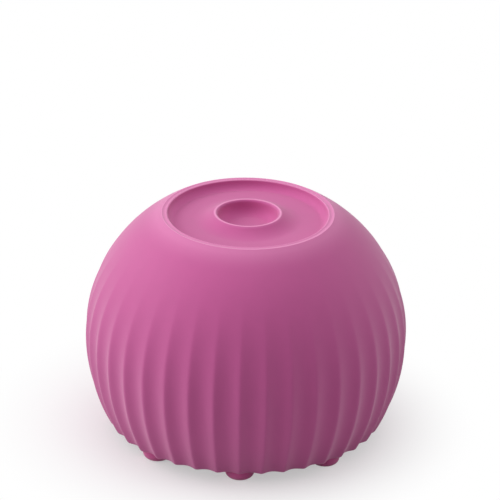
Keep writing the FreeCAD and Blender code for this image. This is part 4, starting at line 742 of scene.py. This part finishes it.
# %% Mouldings, metals and the rest of the machine
cover_plastic, _ = finish("cover_plastic", (0.26, 0.040, 0.125), 0.50, 1800, 0.010)
bezel_plastic, _ = finish("bezel_plastic", (0.24, 0.035, 0.115), 0.42, 2000, 0.006)
button_plastic, _ = finish("button_plastic", (0.34, 0.048, 0.16), 0.40, 2000, 0.005)
clear_plastic, lens_shader = finish("clear_plastic", (0.85, 0.85, 0.83), 0.30, 1500, 0.002)
lens_shader.inputs["Transmission Weight"].default_value = 0.6
shell_plastic, _ = finish("shell_plastic", (0.69, 0.67, 0.66), 0.48, 1600, 0.010)
carrier_plastic, _ = finish("carrier_plastic", (0.045, 0.045, 0.05), 0.45, 1600, 0.010)
black_plastic, _ = finish("black_plastic", (0.012, 0.012, 0.014), 0.42, 1600, 0.008)
white_plastic, _ = finish("white_plastic", (0.72, 0.72, 0.69), 0.42, 1600, 0.008)
steel, _ = finish("zinc_steel", (0.50, 0.50, 0.51), 0.34, 900, 0.004, 0.06, (1, 1, 6), 1.0)
black_steel, _ = finish("black_steel", (0.02, 0.02, 0.021), 0.38, 1200, 0.004, metallic=0.6)
bearing_steel, _ = finish("bearing_steel", (0.62, 0.62, 0.63), 0.14, 1500, 0.001, 0.03,
                          (1, 1, 8), 1.0)
turned_brass, _ = finish("turned_brass", (0.60, 0.40, 0.13), 0.26, 900, 0.003, 0.05,
                         (1, 1, 10), 1.0)
turned_copper, _ = finish("turned_copper", (0.62, 0.26, 0.14), 0.30, 900, 0.003, 0.06,
                          (1, 1, 10), 1.0)
drawn_steel, _ = finish("drawn_steel", (0.52, 0.52, 0.53), 0.30, 700, 0.004, 0.06,
                        (8, 8, 0.6), 1.0)
magnet_grey, _ = finish("magnet_grey", (0.05, 0.05, 0.055), 0.62, 1400, 0.015)
lacquered_iron, _ = finish("lacquered_iron", (0.16, 0.12, 0.10), 0.40, 800, 0.010, 0.10,
                           (1, 1, 20), 0.5)
cell_wrap, _ = finish("cell_wrap", (0.02, 0.07, 0.30), 0.28, 600, 0.004, 0.08)
solder_mask, _ = finish("solder_mask", (0.008, 0.11, 0.030), 0.30, 900, 0.004, 0.10)
red_lead, _ = finish("red_lead", (0.40, 0.010, 0.010), 0.45, 1500, 0.002)
black_lead, _ = finish("black_lead", (0.012, 0.012, 0.012), 0.45, 1500, 0.002)

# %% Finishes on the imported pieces
finishes = {
    cover_plastic: "base_cover",
    shell_plastic: "upper_shell lower_shell",
    carrier_plastic: "cup_carrier bearing_retainer motor_carriage",
    black_plastic: "motor_end_cap switch_body battery_holder board_chips tact_switch",
    white_plastic: "status_led switch_plunger tact_plunger",
    steel: "retainer_screws counterweight_screws motor_screws plate_screws guide_screws "
           "shell_screws board_screws motor_plate motor_shaft guide_pins "
           "battery_contacts usb_socket bearing_clip eccentric_hub",
    black_steel: "hub_set_screw",
    bearing_steel: "bearing_outer_race bearing_inner_race bearing_balls",
    turned_brass: "counterweight motor_bushes ball_cage motor_terminals",
    turned_copper: "motor_commutator",
    drawn_steel: "motor_can",
    magnet_grey: "motor_magnets",
    lacquered_iron: "motor_rotor",
    cell_wrap: "battery_cell",
    solder_mask: "circuit_board",
    red_lead: "battery_leads",
    black_lead: "motor_leads",
}
dressed = set()
for material, names in finishes.items():
    for name in names.split():
        dress(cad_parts[name], material)
        dressed.add(name)
dress(port_frame, bezel_plastic)
dress(button, button_plastic)
dress(lens, clear_plastic)
dress(cover_screws, steel)
dress(coil_springs, steel)
stood_for = {"silicone_sleeve", "cup_pad", "port_bezel", "power_button", "light_pipe",
             "base_screws", "carriage_springs"}
stood_for |= {f"foot_{number}" for number in range(1, FEET + 1)}
left_bare = set(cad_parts) - dressed - stood_for
print(len(dressed), "packed pieces dressed, left bare:", sorted(left_bare))

# %% [markdown]
# ## The studio
#
# The floor is to look pale, with a faint shadow. So it shows white to the camera and to
# reflections, mixed with some of its lit surface, which keeps the shadow, and it is a plain grey
# for every other ray. Large soft lamps stand to the left and a little behind, low to the left,
# and above, with a weak one to the right, and the world fills in the rest.

# %% The floor
def ray_switch(nodes, links):
    """1 for rays from the camera and for reflected and refracted rays, otherwise 0."""
    path = nodes.new("ShaderNodeLightPath")
    total = path.outputs["Is Camera Ray"]
    for ray in ("Is Glossy Ray", "Is Transmission Ray"):
        larger = nodes.new("ShaderNodeMath")
        larger.operation = "MAXIMUM"
        links.new(total, larger.inputs[0])
        links.new(path.outputs[ray], larger.inputs[1])
        total = larger.outputs[0]
    return total


REACH = 6
floor_mesh = bpy.data.meshes.new("floor")
floor_mesh.from_pydata([(-REACH, -REACH, 0), (REACH, -REACH, 0), (REACH, REACH, 0),
                        (-REACH, REACH, 0)], [], [(0, 1, 2, 3)])
floor = bpy.data.objects.new("floor", floor_mesh)
bpy.context.scene.collection.objects.link(floor)
ground = bpy.data.materials.new("ground")
ground.use_nodes = True
nodes, links = ground.node_tree.nodes, ground.node_tree.links
nodes.remove(nodes["Principled BSDF"])
seen_ray = ray_switch(nodes, links)
tone = nodes.new("ShaderNodeMix")
tone.data_type = "RGBA"
tone.inputs["A"].default_value = (0.50, 0.49, 0.50, 1)
tone.inputs["B"].default_value = (0.92, 0.90, 0.91, 1)
links.new(seen_ray, tone.inputs["Factor"])
lit = nodes.new("ShaderNodeBsdfDiffuse")
links.new(tone.outputs["Result"], lit.inputs["Color"])
white = nodes.new("ShaderNodeEmission")

# the share of plain white grows from 0.45 under the ball to 1 at 88 mm from a point 6 mm to its
# left, so that the shadow on its right, away from the lamps, stays faint
spot = nodes.new("ShaderNodeTexCoord")
centred = nodes.new("ShaderNodeMapping")
centred.inputs["Location"].default_value = (6 * MM, 0, 0)
links.new(spot.outputs["Object"], centred.inputs["Vector"])
distance = nodes.new("ShaderNodeVectorMath")
distance.operation = "LENGTH"
links.new(centred.outputs["Vector"], distance.inputs[0])
share = nodes.new("ShaderNodeMapRange")
share.interpolation_type = "SMOOTHSTEP"
white_share = {"From Min": 40 * MM, "From Max": 88 * MM, "To Min": 0.45, "To Max": 1.0}
for socket, value in white_share.items():
    share.inputs[socket].default_value = value
links.new(distance.outputs["Value"], share.inputs["Value"])
weight = nodes.new("ShaderNodeMath")
weight.operation = "MULTIPLY"
links.new(seen_ray, weight.inputs[0])
links.new(share.outputs["Result"], weight.inputs[1])
mixed = nodes.new("ShaderNodeMixShader")
links.new(weight.outputs[0], mixed.inputs["Fac"])
links.new(lit.outputs[0], mixed.inputs[1])
links.new(white.outputs[0], mixed.inputs[2])

# from below the floor is clear, so that the underside can be looked at
side = nodes.new("ShaderNodeNewGeometry")
clear = nodes.new("ShaderNodeBsdfTransparent")
one_sided = nodes.new("ShaderNodeMixShader")
links.new(side.outputs["Backfacing"], one_sided.inputs["Fac"])
links.new(mixed.outputs[0], one_sided.inputs[1])
links.new(clear.outputs[0], one_sided.inputs[2])
links.new(one_sided.outputs[0], nodes["Material Output"].inputs["Surface"])
floor_mesh.materials.append(ground)
print("floor of", ground.name, "white share", white_share)

# %% The world
world = bpy.data.worlds.new("studio")
world.use_nodes = True
bpy.context.scene.world = world
nodes, links = world.node_tree.nodes, world.node_tree.links
shown = nodes.new("ShaderNodeBackground")
fill = nodes["Background"]
fill.inputs["Color"].default_value = (1, 0.99, 1, 1)
fill.inputs["Strength"].default_value = 0.31
blend = nodes.new("ShaderNodeMixShader")
links.new(ray_switch(nodes, links), blend.inputs["Fac"])
links.new(fill.outputs[0], blend.inputs[1])
links.new(shown.outputs[0], blend.inputs[2])
links.new(blend.outputs[0], nodes["World Output"].inputs["Surface"])
print("world fill", fill.inputs["Strength"].default_value)

# %% Soft lamps
AIM = Vector((0, 0, 0.04))


def soft_lamp(name, place, size, level):
    """A square lamp facing the ball. Its power for a level is pi^2 * distance^2 * level."""
    lamp = bpy.data.lights.new(name, "AREA")
    lamp.size = size
    lamp.energy = level * math.pi ** 2 * Vector(place).length_squared
    stand = bpy.data.objects.new(name, lamp)
    stand.location = place
    stand.rotation_mode = "QUATERNION"
    stand.rotation_quaternion = (Vector(place) - AIM).to_track_quat("Z", "Y")
    bpy.context.scene.collection.objects.link(stand)
    print(f"{name}: {lamp.energy:.1f} W")


soft_lamp("lamp_left", (-1.5, 0.5, 1.2), 1.2, 0.33)
soft_lamp("lamp_low", (-1.7, -0.4, 0.7), 1.2, 0.35)
soft_lamp("lamp_above", (0.0, 0.2, 1.9), 1.4, 0.32)
soft_lamp("lamp_right", (1.6, 0.2, 0.8), 1.0, 0.10)

# %% [markdown]
# ## The camera
#
# The outline of the ball in the photograph fits a camera 1.46 m from its middle, with a long
# lens, looking 25 degrees down and rolled by one degree.

# %% The camera
EYE, PITCH, ROLL = (0.00092, -1.31606, 0.67987), 0.43675, 0.0179
FOCAL_PIXELS, IMAGE_WIDTH, SENSOR_WIDTH = 4266.2, 500, 36
camera_data = bpy.data.cameras.new("camera")
camera_data.sensor_width = SENSOR_WIDTH
camera_data.lens = FOCAL_PIXELS / IMAGE_WIDTH * SENSOR_WIDTH
camera = bpy.data.objects.new("camera", camera_data)
right = Vector((1, 0, 0))
up = Vector((0, math.sin(PITCH), math.cos(PITCH)))
away = Vector((0, -math.cos(PITCH), math.sin(PITCH)))
rolled_right = math.cos(ROLL) * right + math.sin(ROLL) * up
rolled_up = math.cos(ROLL) * up - math.sin(ROLL) * right
turn = Matrix((rolled_right, rolled_up, away)).transposed()
camera.matrix_world = Matrix.Translation(EYE) @ turn.to_4x4()
bpy.context.scene.collection.objects.link(camera)
bpy.context.scene.camera = camera
bpy.context.scene.view_settings.view_transform = "Standard"
